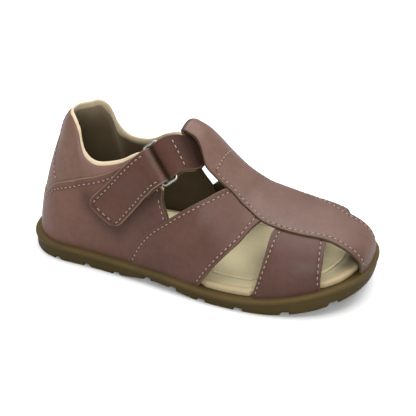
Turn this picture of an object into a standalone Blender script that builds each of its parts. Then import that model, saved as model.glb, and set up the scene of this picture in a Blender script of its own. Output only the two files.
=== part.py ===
"""Child's closed-toe T-bar sandal for the right foot.

A pattern chart wraps round the foot form: chart X runs along the foot and chart Y is the girth from
the centre line, so every leather piece is drawn flat by a short table and then laid on the form.
Toe along +X, outer (lateral) side along -Y, floor at Z = 0.
"""
import math

import bpy
import numpy as np
from mathutils import Vector
from mathutils.geometry import delaunay_2d_cdt

# Overall sizes in millimetres
MM = 0.001
LENGTH = 170.0
LEDGE = 3.0
HEEL_FOCUS = 30.0
WAIST_X = 66.0
TOE_FOCUS = 114.0
TOE_DRIFT = 4.0
GIRTH = 60.0

# Half widths of the feather line (outer face of the leather) at heel, waist and ball
HALF_LATERAL = (26.4, 29.2, 35.4)
HALF_MEDIAL = (25.7, 24.5, 35.0)
HEEL_ROUND = 2.4
TOE_ROUND_LATERAL = 2.15
TOE_ROUND_MEDIAL = 2.85

# Foot form along X: height of the feather line, height of the ridge, squareness of the section
SEAT_X = (0.0, 76.0, 122.0, 170.0)
SEAT_Z = (9.0, 7.9, 7.2, 16.5)
SEAT_TOE_SLOPE = 0.15
CREST_X = (0.0, 30.0, 46.0, 62.0, 78.0, 94.0, 106.0, 118.0, 130.0, 148.0, 170.0)
CREST_Z = (82.0, 82.0, 80.0, 75.5, 69.0, 57.8, 47.5, 40.0, 35.6, 33.6, 33.0)
SQUARE_X = (3.0, 30.0, 46.0, 62.0, 94.0, 118.0, 148.0, 170.0)
SQUARE_N = (1.45, 1.85, 1.62, 1.65, 1.90, 2.10, 2.90, 3.00)

# Walking face: arch under the waist, toe spring, cross grooves
ARCH_FROM = 52.0
ARCH_TO = 100.0
ARCH_RISE = 2.4
SPRING_FROM = 124.0
SPRING_RISE = 9.5
HEEL_BEVEL = 8.0
HEEL_BEVEL_RISE = 0.8
GROOVE_X = (21.5, 38.0, 54.5, 71.5, 85.5, 100.5, 118.5, 139.5, 158.5)
GROOVE_HALF = 2.0
GROOVE_SLOPE = 0.35
GROOVE_LEAN = 0.2
GROOVE_DEPTH = 1.5
GROOVE_CLEAR = 1.2
SOLE_STATIONS = 37
PLAN_POINTS = 400

# Sole wall, from the walking face up: outward from the feather line, height above the floor line
# (from the seat line where the name says so)
WALL_FROM_FLOOR = ((1.5, 0.0), (2.2, 0.5), (2.4, 1.5))
WALL_FROM_SEAT = ((2.4, -3.1), (3.0, -2.4), (3.0, -1.3), (2.5, -0.6), (1.5, -0.3))

# Insole edge: outward from the feather line, height above the seat line
INSOLE_EDGE = ((-2.9, 0.0), (-2.6, 0.4), (-2.6, 2.1), (-3.3, 2.8))

# Leather levels: outer face measured from the form, inner face of each family
LEVEL_COLLAR = -0.8
LEVEL_COUNTER = -0.1
LEVEL_STRAP_TWO = 0.3
LEVEL_STRAP_ONE = 0.6
LEVEL_BAR = 1.2
INNER_FRONT = -1.8
INNER_QUARTER = -2.2
STEP_RUN = 0.5
PAD_OUT = 0.7
PAD_IN = 0.5
PAD_DEPTH = 9.0
PAD_FADE = (48.0, 58.0)
INNER_BLEND = (70.0, 90.0)

# Mesh of the upper: spacing of its points, room kept from every outline, chart step for normals
SPOT_PITCH = 4.6
SPOT_CLEAR = 1.7
HEM_OVER = 12.0
HEM_POINTS = 46
FOLD_POINTS = 9
CHART_WELD = 0.02
CHART_STEP = 0.06
TINY = 1e-9

# T-bar, tongue included: chart X and half width
BAR_X = (80.5, 84.0, 87.0, 89.7, 92.4, 98.4, 105.2, 110.7, 116.3,
         121.0, 125.4, 130.3, 139.2, 149.3, 160.6, 170.6, 182.0)
BAR_HALF = (8.6, 8.5, 10.2, 12.8, 15.2, 15.2, 14.6, 16.0, 16.8,
            16.3, 13.8, 11.9, 9.9, 10.6, 11.4, 11.4, 12.0)

# Tongue over the tab: chart X, lift of its inner face, lift of its outer face
TONGUE_X = (79.0, 85.0, 90.0, 95.5, 102.0)
TONGUE_INNER = (2.1, 2.0, 1.3, 0.2, -1.8)
TONGUE_OUTER = (3.9, 4.2, 3.1, 1.7, 1.2)

# Straps: chart Y, and chart X of the edge there; the inner side has its own edges where it differs
STRAP_ONE_REAR = ((11.0, 104.6), (18.7, 100.8), (26.7, 96.0), (34.7, 88.6), (42.0, 79.5), (47.4, 70.8),
                  (52.0, 65.4), (56.5, 62.2), (66.0, 57.0))
STRAP_ONE_REAR_INNER = ((11.0, 108.2), (18.7, 105.6), (26.7, 101.6), (34.7, 95.0), (42.0, 86.6), (47.4, 79.6),
                        (52.0, 74.6), (56.5, 70.8), (66.0, 65.0))
STRAP_ONE_FRONT = ((13.0, 120.3), (17.5, 119.9), (32.0, 115.7), (38.5, 111.2), (45.5, 107.3), (59.5, 98.2),
                   (66.0, 94.0))
STRAP_TWO_REAR = ((8.0, 126.0), (15.7, 126.4), (27.2, 128.8), (42.0, 131.4), (57.3, 130.2), (66.0, 129.0))
STRAP_TWO_FRONT = ((6.0, 137.0), (10.6, 140.5), (21.0, 149.2), (30.6, 158.5), (34.0, 163.4), (39.0, 170.0))
STRAP_TWO_FRONT_INNER = ((6.0, 136.0), (10.6, 138.2), (21.0, 144.5), (30.6, 153.0), (34.0, 157.4),
                         (40.0, 165.0))

# Quarter, counter and heel, outer half from the front to the heel back: chart X, chart Y
QUARTER_FRONT = ((86.0, 52.0), (80.0, 41.5), (77.6, 38.5), (76.2, 36.0), (76.2, 33.4))
QUARTER_TOP = ((76.2, 33.4), (71.0, 31.0), (67.0, 28.4), (64.4, 26.2), (62.6, 25.2))
COLLAR = ((62.6, 25.2), (59.8, 26.4), (53.8, 29.6), (46.5, 32.0), (40.1, 33.4), (35.4, 32.4), (33.1, 29.8),
          (30.8, 25.4), (25.5, 21.4), (19.0, 16.5), (14.2, 10.8), (11.4, 5.2), (10.5, 0.0))
COUNTER = ((62.6, 25.2), (57.1, 29.5), (51.0, 32.8), (45.3, 35.3), (38.5, 38.1), (30.0, 41.0))
COUNTER_HEEL = ((30.0, 41.0), (22.5, 40.6), (14.3, 38.5), (0.2, 32.4), (-10.4, 17.7), (-13.5, 0.0))

# The same for the inner half, whose quarter is higher at the front
QUARTER_FRONT_INNER = ((86.0, 54.0), (81.5, 46.0), (78.0, 41.6), (75.8, 38.0), (74.2, 33.5), (72.6, 28.5))
QUARTER_TOP_INNER = ((72.6, 28.5), (71.6, 25.8), (69.4, 24.4), (66.8, 24.9), (64.6, 25.9))
COLLAR_INNER = ((64.6, 25.9), (61.8, 27.2), (58.1, 29.5), (52.5, 31.8), (44.5, 33.4), (39.7, 33.9),
                (36.0, 33.0), (34.0, 30.6), (33.2, 27.8), (32.2, 24.8), (30.0, 22.8), (26.0, 21.3),
                (19.3, 18.3), (14.0, 12.0), (11.5, 6.0), (10.5, 0.0))
COUNTER_INNER = ((64.6, 25.9), (58.6, 30.8), (52.0, 33.9), (45.5, 36.0), (38.5, 38.4), (30.0, 41.0))

# Closure: ring corners on the chart, strap edges at the free end, sizes
RING_STRAP_BAR = ((64.5, -24.8), (77.3, -30.7))
RING_TAB_BAR = ((70.6, -18.6), (81.8, -26.6))
RING_LIFT = 2.6
RING_LONG = 20.4
RING_SHORT = 7.4
RING_CORNER = 2.0
RING_CORNER_POINTS = 6
WIRE = 1.0
WIRE_SIDES = 10
STRAP_END = ((38.2, -44.6), (54.9, -48.8))
STRAP_REACH = 36.0
STRAP_CORNER = 5.0
STRAP_TRIM = 0.9
STRAP_HALF = 8.8
BAND_WALL = 1.4
WRAP_RADIUS = 1.9
BAND_ACROSS = 7
WRAP_STEPS = 9

# Closure strap layers: distance from the ring, height of the middle of the leather; then the distances
# where each leg has a row of points, and the run over which it eases from the ring to the form
STRAP_TOP_D = (0.0, 14.0, 22.0, 36.0)
STRAP_TOP_LIFT = (4.5, 2.7, 0.95, 0.95)
STRAP_LOW_LIFT = 0.95
STRAP_TOP_ROWS = (36.0, 35.6, 34.6, 33.0, 31.0, 28.0, 25.0, 22.0, 18.0, 14.0, 10.0, 7.0, 4.5, 2.0)
STRAP_LOW_ROWS = (2.0, 4.5, 7.0, 10.0, 13.0)
STRAP_TOP_EASE = 9.0
STRAP_LOW_EASE = 5.0

# Ring tab, from the ring over the ridge to the inner quarter: share of its length, rear edge on the
# chart, front edge on the chart; then share of its length and lift of its middle at either edge
TAB_SHARE = (0.0, 0.16, 0.42, 0.68, 0.82, 1.0)
TAB_REAR = ((70.6, -18.6), (79.4, -9.8), (82.8, 0.5), (80.6, 10.6), (72.8, 21.5), (61.5, 34.0))
TAB_FRONT = ((81.8, -26.6), (90.2, -17.6), (95.6, 0.0), (92.8, 18.3), (84.8, 29.5), (74.5, 43.0))
TAB_LIFT_SHARE = (0.0, 0.05, 0.14, 0.20, 0.60, 0.68, 0.86, 1.0)
TAB_LIFT_REAR = (4.5, 4.0, 1.05, 1.05, 1.05, 1.05, 1.1, 1.1)
TAB_LIFT_FRONT = (4.5, 3.8, 1.0, -0.9, -0.9, -0.5, 1.1, 1.1)
TAB_REACH = 58.0
TAB_RETURN = 8.0
TAB_LOW_DROP = 2.1
TAB_NEAR_RING = 2.0
TAB_PITCH = 2.4

# Loop under the tongue: centre of its turn, then chart X, lift and half width along its leg
LOOP_X = 80.2
LOOP_MID = 1.17
LOOP_RADIUS = 1.83
LOOP_LEG_X = (80.4, 88.0, 94.0, 99.5, 105.0)
LOOP_LEG_LIFT = (-0.66, -1.7, -2.6, -2.9, -2.9)
LOOP_LEG_HALF = (8.6, 8.6, 8.8, 9.0, 9.0)

# Base colours (linear), roughness, metal
RUBBER = ((0.115, 0.085, 0.040), 0.70, 0.0)
FOOTBED = ((0.45, 0.33, 0.22), 0.80, 0.0)
LEATHER = ((0.150, 0.095, 0.085), 0.55, 0.0)
LEATHER_DARK = ((0.110, 0.068, 0.060), 0.58, 0.0)
STEEL = ((0.72, 0.72, 0.72), 0.25, 1.0)


def hermite(stations, values, x, ends=(0.0, 0.0)):
    """Smooth curve through (station, value): mean slopes inside, the given slopes at both ends."""
    s = np.asarray(stations, float)
    v = np.asarray(values, float)
    slope = np.empty_like(v)
    slope[1:-1] = (v[2:] - v[:-2]) / (s[2:] - s[:-2])
    slope[0], slope[-1] = ends
    i = np.clip(np.searchsorted(s, x, side="right") - 1, 0, len(s) - 2)
    h = s[i + 1] - s[i]
    t = (x - s[i]) / h
    rise = t * t * (3.0 - 2.0 * t)
    bend = h * t * (1.0 - t) * ((1.0 - t) * slope[i] - t * slope[i + 1])
    return v[i] + (v[i + 1] - v[i]) * rise + bend


def smooth(low, high, x):
    """Smooth step from 0 at low to 1 at high."""
    t = np.clip((np.asarray(x, float) - low) / (high - low), 0.0, 1.0)
    return t * t * (3.0 - 2.0 * t)


def spine(x):
    """Plan centre line: straight at the heel, drifting to the inner side at the toe."""
    return TOE_DRIFT * np.clip((x - HEEL_FOCUS) / (LENGTH - HEEL_FOCUS), 0.0, 1.0) ** 2


def seat(x):
    """Height of the feather line, where leather meets sole."""
    return hermite(SEAT_X, SEAT_Z, x, (0.0, SEAT_TOE_SLOPE))


def crest(x):
    """Height of the form's ridge."""
    return hermite(CREST_X, CREST_Z, x)


def walking_face(x):
    """Height of the sole's underside: flat heel, arch, flat forefoot, toe spring."""
    t = np.clip((x - ARCH_FROM) / (ARCH_TO - ARCH_FROM), 0.0, 1.0)
    arch = ARCH_RISE * np.sin(math.pi * t) ** 2
    spring = SPRING_RISE * np.clip((x - SPRING_FROM) / (LENGTH - SPRING_FROM), 0.0, 1.0) ** 2
    bevel = HEEL_BEVEL_RISE * np.clip((HEEL_BEVEL - x) / HEEL_BEVEL, 0.0, 1.0) ** 2
    return arch + spring + bevel


def reach(chart):
    """Foot on the ridge, plan direction, distance to the feather line and girth share of chart places."""
    x, y = chart[..., 0], chart[..., 1]
    foot = np.clip(x, HEEL_FOCUS, TOE_FOCUS)
    run = x - foot
    girth = np.hypot(run, y)
    safe = np.maximum(girth, TINY)
    cx = run / safe
    cy = np.where(girth > TINY, y / safe, 1.0)
    lateral = cy < 0.0
    stations = (HEEL_FOCUS, WAIST_X, TOE_FOCUS)
    wide = np.where(lateral, hermite(stations, HALF_LATERAL, foot), hermite(stations, HALF_MEDIAL, foot))
    ahead = np.where(run > 0.0, LENGTH - LEDGE - TOE_FOCUS, HEEL_FOCUS - LEDGE)
    power = np.where(run > 0.0, np.where(lateral, TOE_ROUND_LATERAL, TOE_ROUND_MEDIAL), HEEL_ROUND)
    far = ((np.abs(cx) / ahead) ** power + (np.abs(cy) / wide) ** power) ** (-1.0 / power)
    return foot, cx, cy, far, np.clip(girth / GIRTH, 0.0, 1.0)


def form(chart):
    """Points of the foot form: superellipse sections standing on the plan outline."""
    foot, cx, cy, far, share = reach(chart)
    edge_x = foot + cx * far
    power = 2.0 / np.interp(edge_x, SQUARE_X, SQUARE_N)
    out = np.sin(share * math.pi / 2.0) ** power
    up = np.clip(np.cos(share * math.pi / 2.0), 0.0, 1.0) ** power
    x = foot + cx * far * out
    y = spine(foot) + cy * far * out
    z = seat(edge_x) + (crest(x) - seat(edge_x)) * up
    return np.stack([x, y, z], -1)


def form_normal(chart):
    """Outward unit normals of the form by central differences on the chart."""
    ahead = np.array([CHART_STEP, 0.0])
    side = np.array([0.0, CHART_STEP])
    normal = np.cross(form(chart + ahead) - form(chart - ahead), form(chart + side) - form(chart - side))
    return normal / np.maximum(np.linalg.norm(normal, axis=-1, keepdims=True), TINY)


def lay(chart, lift):
    """Chart places laid on the form and lifted along its normal."""
    chart = np.asarray(chart, float)
    return form(chart) + form_normal(chart) * np.asarray(lift, float)[..., None]


def curve(rows, pitch=2.6):
    """Smooth open curve through table rows, about one point every pitch."""
    rows = np.asarray(rows, float)
    run = np.concatenate([[0.0], np.cumsum(np.linalg.norm(np.diff(rows, axis=0), axis=1))])
    s = np.linspace(0.0, run[-1], max(3, int(round(run[-1] / pitch)) + 1))
    first = (rows[1] - rows[0]) / run[1]
    last = (rows[-1] - rows[-2]) / (run[-1] - run[-2])
    return np.stack([hermite(run, rows[:, k], s, (first[k], last[k])) for k in (0, 1)], -1)


def mirror(line):
    """Chart line on the other side of the centre line."""
    return line * np.array([1.0, -1.0])


def signed_gap(points, loop):
    """Distance from points to a closed outline, positive inside it."""
    a = loop[None, :, :]
    b = np.roll(loop, -1, axis=0)[None, :, :]
    p = points[:, None, :]
    ab = b - a
    t = np.clip(((p - a) * ab).sum(-1) / np.maximum((ab * ab).sum(-1), TINY), 0.0, 1.0)
    gap = np.linalg.norm(p - a - t[..., None] * ab, axis=-1).min(axis=1)
    crosses = (a[..., 1] > p[..., 1]) != (b[..., 1] > p[..., 1])
    rise = np.where(np.abs(ab[..., 1]) < TINY, TINY, ab[..., 1])
    at = a[..., 0] + (p[..., 1] - a[..., 1]) / rise * ab[..., 0]
    inside = ((crosses & (p[..., 0] < at)).sum(axis=1) % 2) == 1
    return np.where(inside, gap, -gap)


def line_gap(points, line):
    """Distance from points to an open line."""
    return np.abs(signed_gap(points, np.concatenate([line, line[::-1]])))


def stadium():
    """Chart outline at the feather line: two straight sides and a half circle at either end."""
    turn = np.linspace(-math.pi / 2.0, math.pi / 2.0, HEM_POINTS)
    toe = np.stack([TOE_FOCUS + GIRTH * np.cos(turn), GIRTH * np.sin(turn)], -1)
    heel = np.stack([HEEL_FOCUS - GIRTH * np.cos(turn[::-1]), GIRTH * np.sin(turn[::-1])], -1)
    sides = np.linspace(HEEL_FOCUS, TOE_FOCUS, HEM_POINTS)[1:-1]
    lateral = np.stack([sides, np.full_like(sides, -GIRTH)], -1)
    return np.concatenate([toe, mirror(lateral)[::-1], heel, lateral])


def strap_loop(rear, front, side):
    """Closed chart outline of a strap from its rear and front edge tables; side -1 is lateral."""
    back = curve([(x, y * side) for y, x in rear])
    fore = curve([(x, y * side) for y, x in front])
    return split_long(np.concatenate([back, fore[::-1]]))


def bar_outline():
    """Closed chart outline of the T-bar, tongue included."""
    edge = curve(np.stack([BAR_X, BAR_HALF], -1))
    return split_long(np.concatenate([edge, mirror(edge)[::-1]]))


def joined(*tables):
    """One chart line through several tables, each starting where the last one ends, with a corner there."""
    lines = [curve(table) for table in tables]
    return np.concatenate([line[:-1] for line in lines[:-1]] + lines[-1:])


def quarter_loop(outer, inner):
    """Closed chart outline of the quarter: both sides and the heel, below the rim line of either half."""
    wide = GIRTH + HEM_OVER
    back = HEEL_FOCUS - wide
    hem = np.array([(inner[0, 0], wide), (back, wide), (back, -wide), (outer[0, 0], -wide)])
    return split_long(np.concatenate([mirror(outer), inner[::-1][1:], hem]))


def split_long(loop, pitch=4.0):
    """Closed outline with its long sides cut into shorter ones."""
    ends = np.roll(loop, -1, axis=0)
    parts = []
    for start, end in zip(loop, ends):
        count = max(1, int(np.ceil(np.linalg.norm(end - start) / pitch)))
        share = np.arange(count)[:, None] / count
        parts.append(start + (end - start) * share)
    return np.concatenate(parts)


def grow_loop(loop, run):
    """Outline moved outwards by run along its own normals."""
    ahead = np.roll(loop, -1, axis=0) - np.roll(loop, 1, axis=0)
    normal = np.stack([ahead[:, 1], -ahead[:, 0]], -1)
    normal /= np.maximum(np.linalg.norm(normal, axis=1, keepdims=True), TINY)
    area = (loop[:, 0] * np.roll(loop[:, 1], -1) - np.roll(loop[:, 0], -1) * loop[:, 1]).sum()
    return loop + normal * run * np.sign(area)


def make_object(name, points, faces, material):
    """Mesh object from millimetre points, moved so that the sole is centred over the origin."""
    mesh = bpy.data.meshes.new(name)
    place = (np.asarray(points) - CENTRE) * MM
    mesh.from_pydata(place.tolist(), [], [tuple(int(i) for i in f) for f in faces])
    mesh.validate()
    mesh.update()
    mesh.materials.append(material)
    piece = bpy.data.objects.new(name, mesh)
    bpy.context.scene.collection.objects.link(piece)
    return piece


def make_material(name, look):
    """Plain Principled material from colour, roughness and metal."""
    colour, rough, metal = look
    material = bpy.data.materials.new(name)
    material.use_nodes = True
    shader = material.node_tree.nodes["Principled BSDF"]
    shader.inputs["Base Color"].default_value = (*colour, 1.0)
    shader.inputs["Roughness"].default_value = rough
    shader.inputs["Metallic"].default_value = metal
    return material


def plan_side(x, grow, side):
    """Plan points of one side of the sole at stations x, grown outwards from the feather line."""
    turn = np.linspace(0.0, math.pi / 2.0, PLAN_POINTS)
    toe = np.stack([TOE_FOCUS + GIRTH * np.cos(turn), side * GIRTH * np.sin(turn)], -1)
    mid = np.linspace(TOE_FOCUS, HEEL_FOCUS, PLAN_POINTS)[1:-1]
    middle = np.stack([mid, np.full_like(mid, side * GIRTH)], -1)
    heel = np.stack([HEEL_FOCUS - GIRTH * np.cos(turn[::-1]), side * GIRTH * np.sin(turn[::-1])], -1)
    foot, cx, cy, far, _ = reach(np.concatenate([toe, middle, heel])[::-1])
    px = foot + cx * (far + grow)
    py = spine(foot) + cy * (far + grow)
    share = np.clip((px - px[0]) / (px[-1] - px[0]), 0.0, 1.0)
    wanted = x / LENGTH
    return np.stack([np.interp(wanted, share, px), np.interp(wanted, share, py)], -1)


def slab(name, rows, stations, lift, material):
    """Closed slab: wall rows round the plan outline, ladder faces across the top and the bottom.

    rows gives (outward, base, height) from the bottom up; lift raises the rows that stand on the floor.
    """
    columns = []
    for outward, base, height in rows:
        halves = []
        for side in (-1.0, 1.0):
            plan = plan_side(stations, outward, side)
            z = seat(plan[:, 0]) + height
            if base == "floor":
                z = walking_face(plan[:, 0]) + np.maximum(height, lift * (1.0 + GROOVE_LEAN * height))
            halves.append(np.column_stack([plan, z]))
        columns.append(np.concatenate([halves[0], halves[1][-2:0:-1]]))
    ring = len(columns[0])
    last = len(stations) - 1
    points = np.concatenate(columns)
    faces = []
    for r in range(len(rows) - 1):
        for i in range(ring):
            j = (i + 1) % ring
            faces.append((r * ring + i, r * ring + j, (r + 1) * ring + j, (r + 1) * ring + i))
    top = (len(rows) - 1) * ring
    for i in range(last):
        here, there = (ring - i) % ring, ring - i - 1
        low = [i, here, there, i + 1]
        low = [k for n, k in enumerate(low) if k not in low[:n]]
        faces.append(tuple(low))
        faces.append(tuple(top + k for k in low[::-1]))
    return make_object(name, points, faces, material)


def sole_stations(grooves):
    """Stations along the foot: close together at both ends, with the groove walls put in."""
    turn = np.linspace(0.0, math.pi, SOLE_STATIONS)
    base = LENGTH / 2.0 * (1.0 - np.cos(turn))
    lift = np.zeros_like(base)
    for centre in grooves:
        keep = np.abs(base - centre) > GROOVE_HALF + GROOVE_CLEAR
        walls = centre + np.array([-1.0, -1.0, 1.0, 1.0]) * GROOVE_HALF
        walls += np.array([-0.5, 0.5, -0.5, 0.5]) * GROOVE_SLOPE
        base = np.concatenate([base[keep], walls])
        lift = np.concatenate([lift[keep], GROOVE_DEPTH * np.array([0.0, 1.0, 1.0, 0.0])])
    order = np.argsort(base)
    return base[order], lift[order]


def build_outsole(material):
    """One rubber unit: grooved walking face, plain wall, rounded bead along the ledge."""
    rows = [(out, "floor", high) for out, high in WALL_FROM_FLOOR]
    rows += [(out, "seat", high) for out, high in WALL_FROM_SEAT]
    stations, lift = sole_stations(GROOVE_X)
    return slab("outsole", rows, stations, lift, material)


def build_insole(material):
    """Footbed board standing inside the leather on the sole."""
    rows = [(out, "seat", high) for out, high in INSOLE_EDGE]
    stations, lift = sole_stations(())
    return slab("insole", rows, stations, lift, material)


def upper_levels(points, loops):
    """Outer and inner lift of the leather at chart points, from the pieces that lie there."""
    x, y = points[:, 0], points[:, 1]
    outer = np.full(len(points), LEVEL_COLLAR)
    for loop, level in loops:
        ramp = np.clip(signed_gap(points, loop) / STEP_RUN + 1.0, 0.0, 1.0)
        outer = np.maximum(outer, LEVEL_COLLAR + (level - LEVEL_COLLAR) * ramp)
    inner = INNER_QUARTER + (INNER_FRONT - INNER_QUARTER) * smooth(*INNER_BLEND, x)

    rim = np.concatenate([mirror(curve(COLLAR)), curve(COLLAR_INNER)[::-1]])
    depth = np.clip(line_gap(points, rim) / PAD_DEPTH, 0.0, 1.0)
    swell = np.sin(math.pi * depth) * (1.0 - smooth(*PAD_FADE, x))
    outer = np.maximum(outer, np.minimum(outer + PAD_OUT * swell, LEVEL_COUNTER))
    inner = inner - PAD_IN * swell

    tongue = (x > TONGUE_X[0]) & (x < TONGUE_X[-1]) & (np.abs(y) < max(BAR_HALF))
    outer = np.where(tongue, hermite(TONGUE_X, TONGUE_OUTER, x), outer)
    inner = np.where(tongue, hermite(TONGUE_X, TONGUE_INNER, x), inner)
    return outer, inner


def chart_spots(loops, folds):
    """Staggered points over the whole chart, clear of every outline and fold."""
    xs, ys = np.meshgrid(np.arange(HEEL_FOCUS - GIRTH, TOE_FOCUS + GIRTH, SPOT_PITCH),
                         np.arange(-GIRTH, GIRTH, SPOT_PITCH))
    xs[1::2] += SPOT_PITCH / 2.0
    spots = np.column_stack([xs.ravel(), ys.ravel()])
    clear = np.min([np.abs(signed_gap(spots, loop)) for loop in loops], axis=0) > SPOT_CLEAR
    clear &= np.min([line_gap(spots, line) for line in folds], axis=0) > SPOT_CLEAR
    return spots[clear]


def chart_mesh(loops, folds, pieces, hem):
    """Chart points and triangles that fill the pieces inside the hem, with edges along every line."""
    places, edges = [], []
    for loop in loops:
        start = len(places)
        places += loop.tolist()
        edges += [(start + i, start + (i + 1) % len(loop)) for i in range(len(loop))]
    for line in folds:
        start = len(places)
        places += line.tolist()
        edges += [(start + i, start + i + 1) for i in range(len(line) - 1)]
    places += chart_spots(loops, folds).tolist()
    found = delaunay_2d_cdt([Vector(p) for p in places], edges, [], 0, CHART_WELD)
    chart = np.array([tuple(v) for v in found[0]])
    tris = np.array(found[2])
    middle = chart[tris].mean(axis=1)
    inside = np.max([signed_gap(middle, loop) for loop in pieces], axis=0) > 0.0
    inside &= signed_gap(middle, hem) > 0.0
    used, tris = np.unique(tris[inside], return_inverse=True)
    return chart[used], tris.reshape(-1, 3)


def build_upper(material):
    """All the leather that is sewn together, as one hollow wall open above, below and between the straps."""
    bar = bar_outline()
    quarter = quarter_loop(joined(QUARTER_FRONT, QUARTER_TOP, COLLAR),
                           joined(QUARTER_FRONT_INNER, QUARTER_TOP_INNER, COLLAR_INNER))
    counter = quarter_loop(joined(QUARTER_FRONT, QUARTER_TOP, COUNTER, COUNTER_HEEL),
                           joined(QUARTER_FRONT_INNER, QUARTER_TOP_INNER, COUNTER_INNER, COUNTER_HEEL))
    pieces = [quarter, bar]
    levels = [(counter, LEVEL_COUNTER), (bar, LEVEL_BAR)]
    for side, one_rear, two_front in ((-1.0, STRAP_ONE_REAR, STRAP_TWO_FRONT),
                                      (1.0, STRAP_ONE_REAR_INNER, STRAP_TWO_FRONT_INNER)):
        one = strap_loop(one_rear, STRAP_ONE_FRONT, side)
        two = strap_loop(STRAP_TWO_REAR, two_front, side)
        pieces += [one, two]
        levels += [(one, LEVEL_STRAP_ONE), (two, LEVEL_STRAP_TWO)]
    hem = stadium()
    loops = [hem] + pieces + [counter] + [grow_loop(loop, STEP_RUN) for loop, _ in levels]
    fold_y = np.linspace(-1.0, 1.0, FOLD_POINTS) * np.interp(TONGUE_X[-2], BAR_X, BAR_HALF)
    folds = [np.column_stack([np.full_like(fold_y, x), fold_y]) for x in TONGUE_X[-2:]]
    chart, tris = chart_mesh(loops, folds, pieces, hem)

    outer, inner = upper_levels(chart, levels)
    count = len(chart)
    points = np.concatenate([lay(chart, outer), lay(chart, inner)])
    sides = np.concatenate([tris[:, [0, 1]], tris[:, [1, 2]], tris[:, [2, 0]]])
    known = set(map(tuple, sides.tolist()))
    rim = sorted((i, j) for i, j in known if (j, i) not in known)
    faces = tris.tolist() + (tris[:, ::-1] + count).tolist()
    faces += [(j, i, i + count, j + count) for i, j in rim]
    return make_object("upper", points, faces, material)


def ring_frame():
    """Centre, long axis, short axis and normal of the ring, from its corners on the form."""
    rear = lay(RING_STRAP_BAR, np.full(2, RING_LIFT))
    fore = lay(RING_TAB_BAR, np.full(2, RING_LIFT))
    centre = (rear.sum(axis=0) + fore.sum(axis=0)) / 4.0
    along = (rear[1] - rear[0]) + (fore[1] - fore[0])
    along /= np.linalg.norm(along)
    across = fore.sum(axis=0) - rear.sum(axis=0)
    across -= along * (across @ along)
    across /= np.linalg.norm(across)
    return centre, along, across, np.cross(along, across)


def build_ring(material):
    """Rectangular wire ring with rounded corners."""
    centre, along, across, normal = ring_frame()
    path = []
    for k, (sx, sy) in enumerate(((1.0, 1.0), (-1.0, 1.0), (-1.0, -1.0), (1.0, -1.0))):
        turn = (np.linspace(0.0, 1.0, RING_CORNER_POINTS) + k) * math.pi / 2.0
        path.append(np.stack([sx * (RING_LONG / 2.0 - RING_CORNER) + RING_CORNER * np.cos(turn),
                              sy * (RING_SHORT / 2.0 - RING_CORNER) + RING_CORNER * np.sin(turn)], -1))
    path = np.concatenate(path)
    ahead = np.roll(path, -1, axis=0) - np.roll(path, 1, axis=0)
    ahead /= np.linalg.norm(ahead, axis=1, keepdims=True)
    out = np.stack([ahead[:, 1], -ahead[:, 0]], -1)
    spin = np.linspace(0.0, 2.0 * math.pi, WIRE_SIDES, endpoint=False)
    flat = path[:, None, :] + WIRE * np.cos(spin)[None, :, None] * out[:, None, :]
    high = np.broadcast_to(WIRE * np.sin(spin), flat.shape[:2])
    points = centre + flat[..., :1] * along + flat[..., 1:] * across + high[..., None] * normal
    rows, sides = flat.shape[:2]
    faces = []
    for i in range(rows):
        for j in range(sides):
            a, b = (i + 1) % rows, (j + 1) % sides
            faces.append((i * sides + j, a * sides + j, a * sides + b, i * sides + b))
    return make_object("ring", points.reshape(-1, 3), faces, material)


def build_band(name, middle, material):
    """Closed strip of leather: a grid of middle points thickened along its own normals."""
    normal = np.cross(np.gradient(middle, axis=0), np.gradient(middle, axis=1))
    normal /= np.linalg.norm(normal, axis=-1, keepdims=True)
    points = np.concatenate([(middle + normal * BAND_WALL / 2.0).reshape(-1, 3),
                             (middle - normal * BAND_WALL / 2.0).reshape(-1, 3)])
    rows, cols = middle.shape[:2]
    under = rows * cols
    faces = []
    for i in range(rows - 1):
        for j in range(cols - 1):
            quad = (i * cols + j, (i + 1) * cols + j, (i + 1) * cols + j + 1, i * cols + j + 1)
            faces.append(quad)
            faces.append(tuple(k + under for k in quad[::-1]))
    rim = list(range(cols)) + [i * cols + cols - 1 for i in range(1, rows)]
    rim += [(rows - 1) * cols + j for j in range(cols - 2, -1, -1)]
    rim += [i * cols for i in range(rows - 2, 0, -1)]
    for i, j in zip(rim, rim[1:] + rim[:1]):
        faces.append((i, j, j + under, i + under))
    return make_object(name, points, faces, material)


def wrap(centre, along, start, out, across):
    """Half turn of leather round a bar, from start over out to the far side."""
    turn = np.linspace(0.0, math.pi, WRAP_STEPS)[:, None, None]
    line = centre + across[None, :, None] * STRAP_HALF * along
    return line + WRAP_RADIUS * (np.cos(turn) * start + np.sin(turn) * out)


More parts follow.
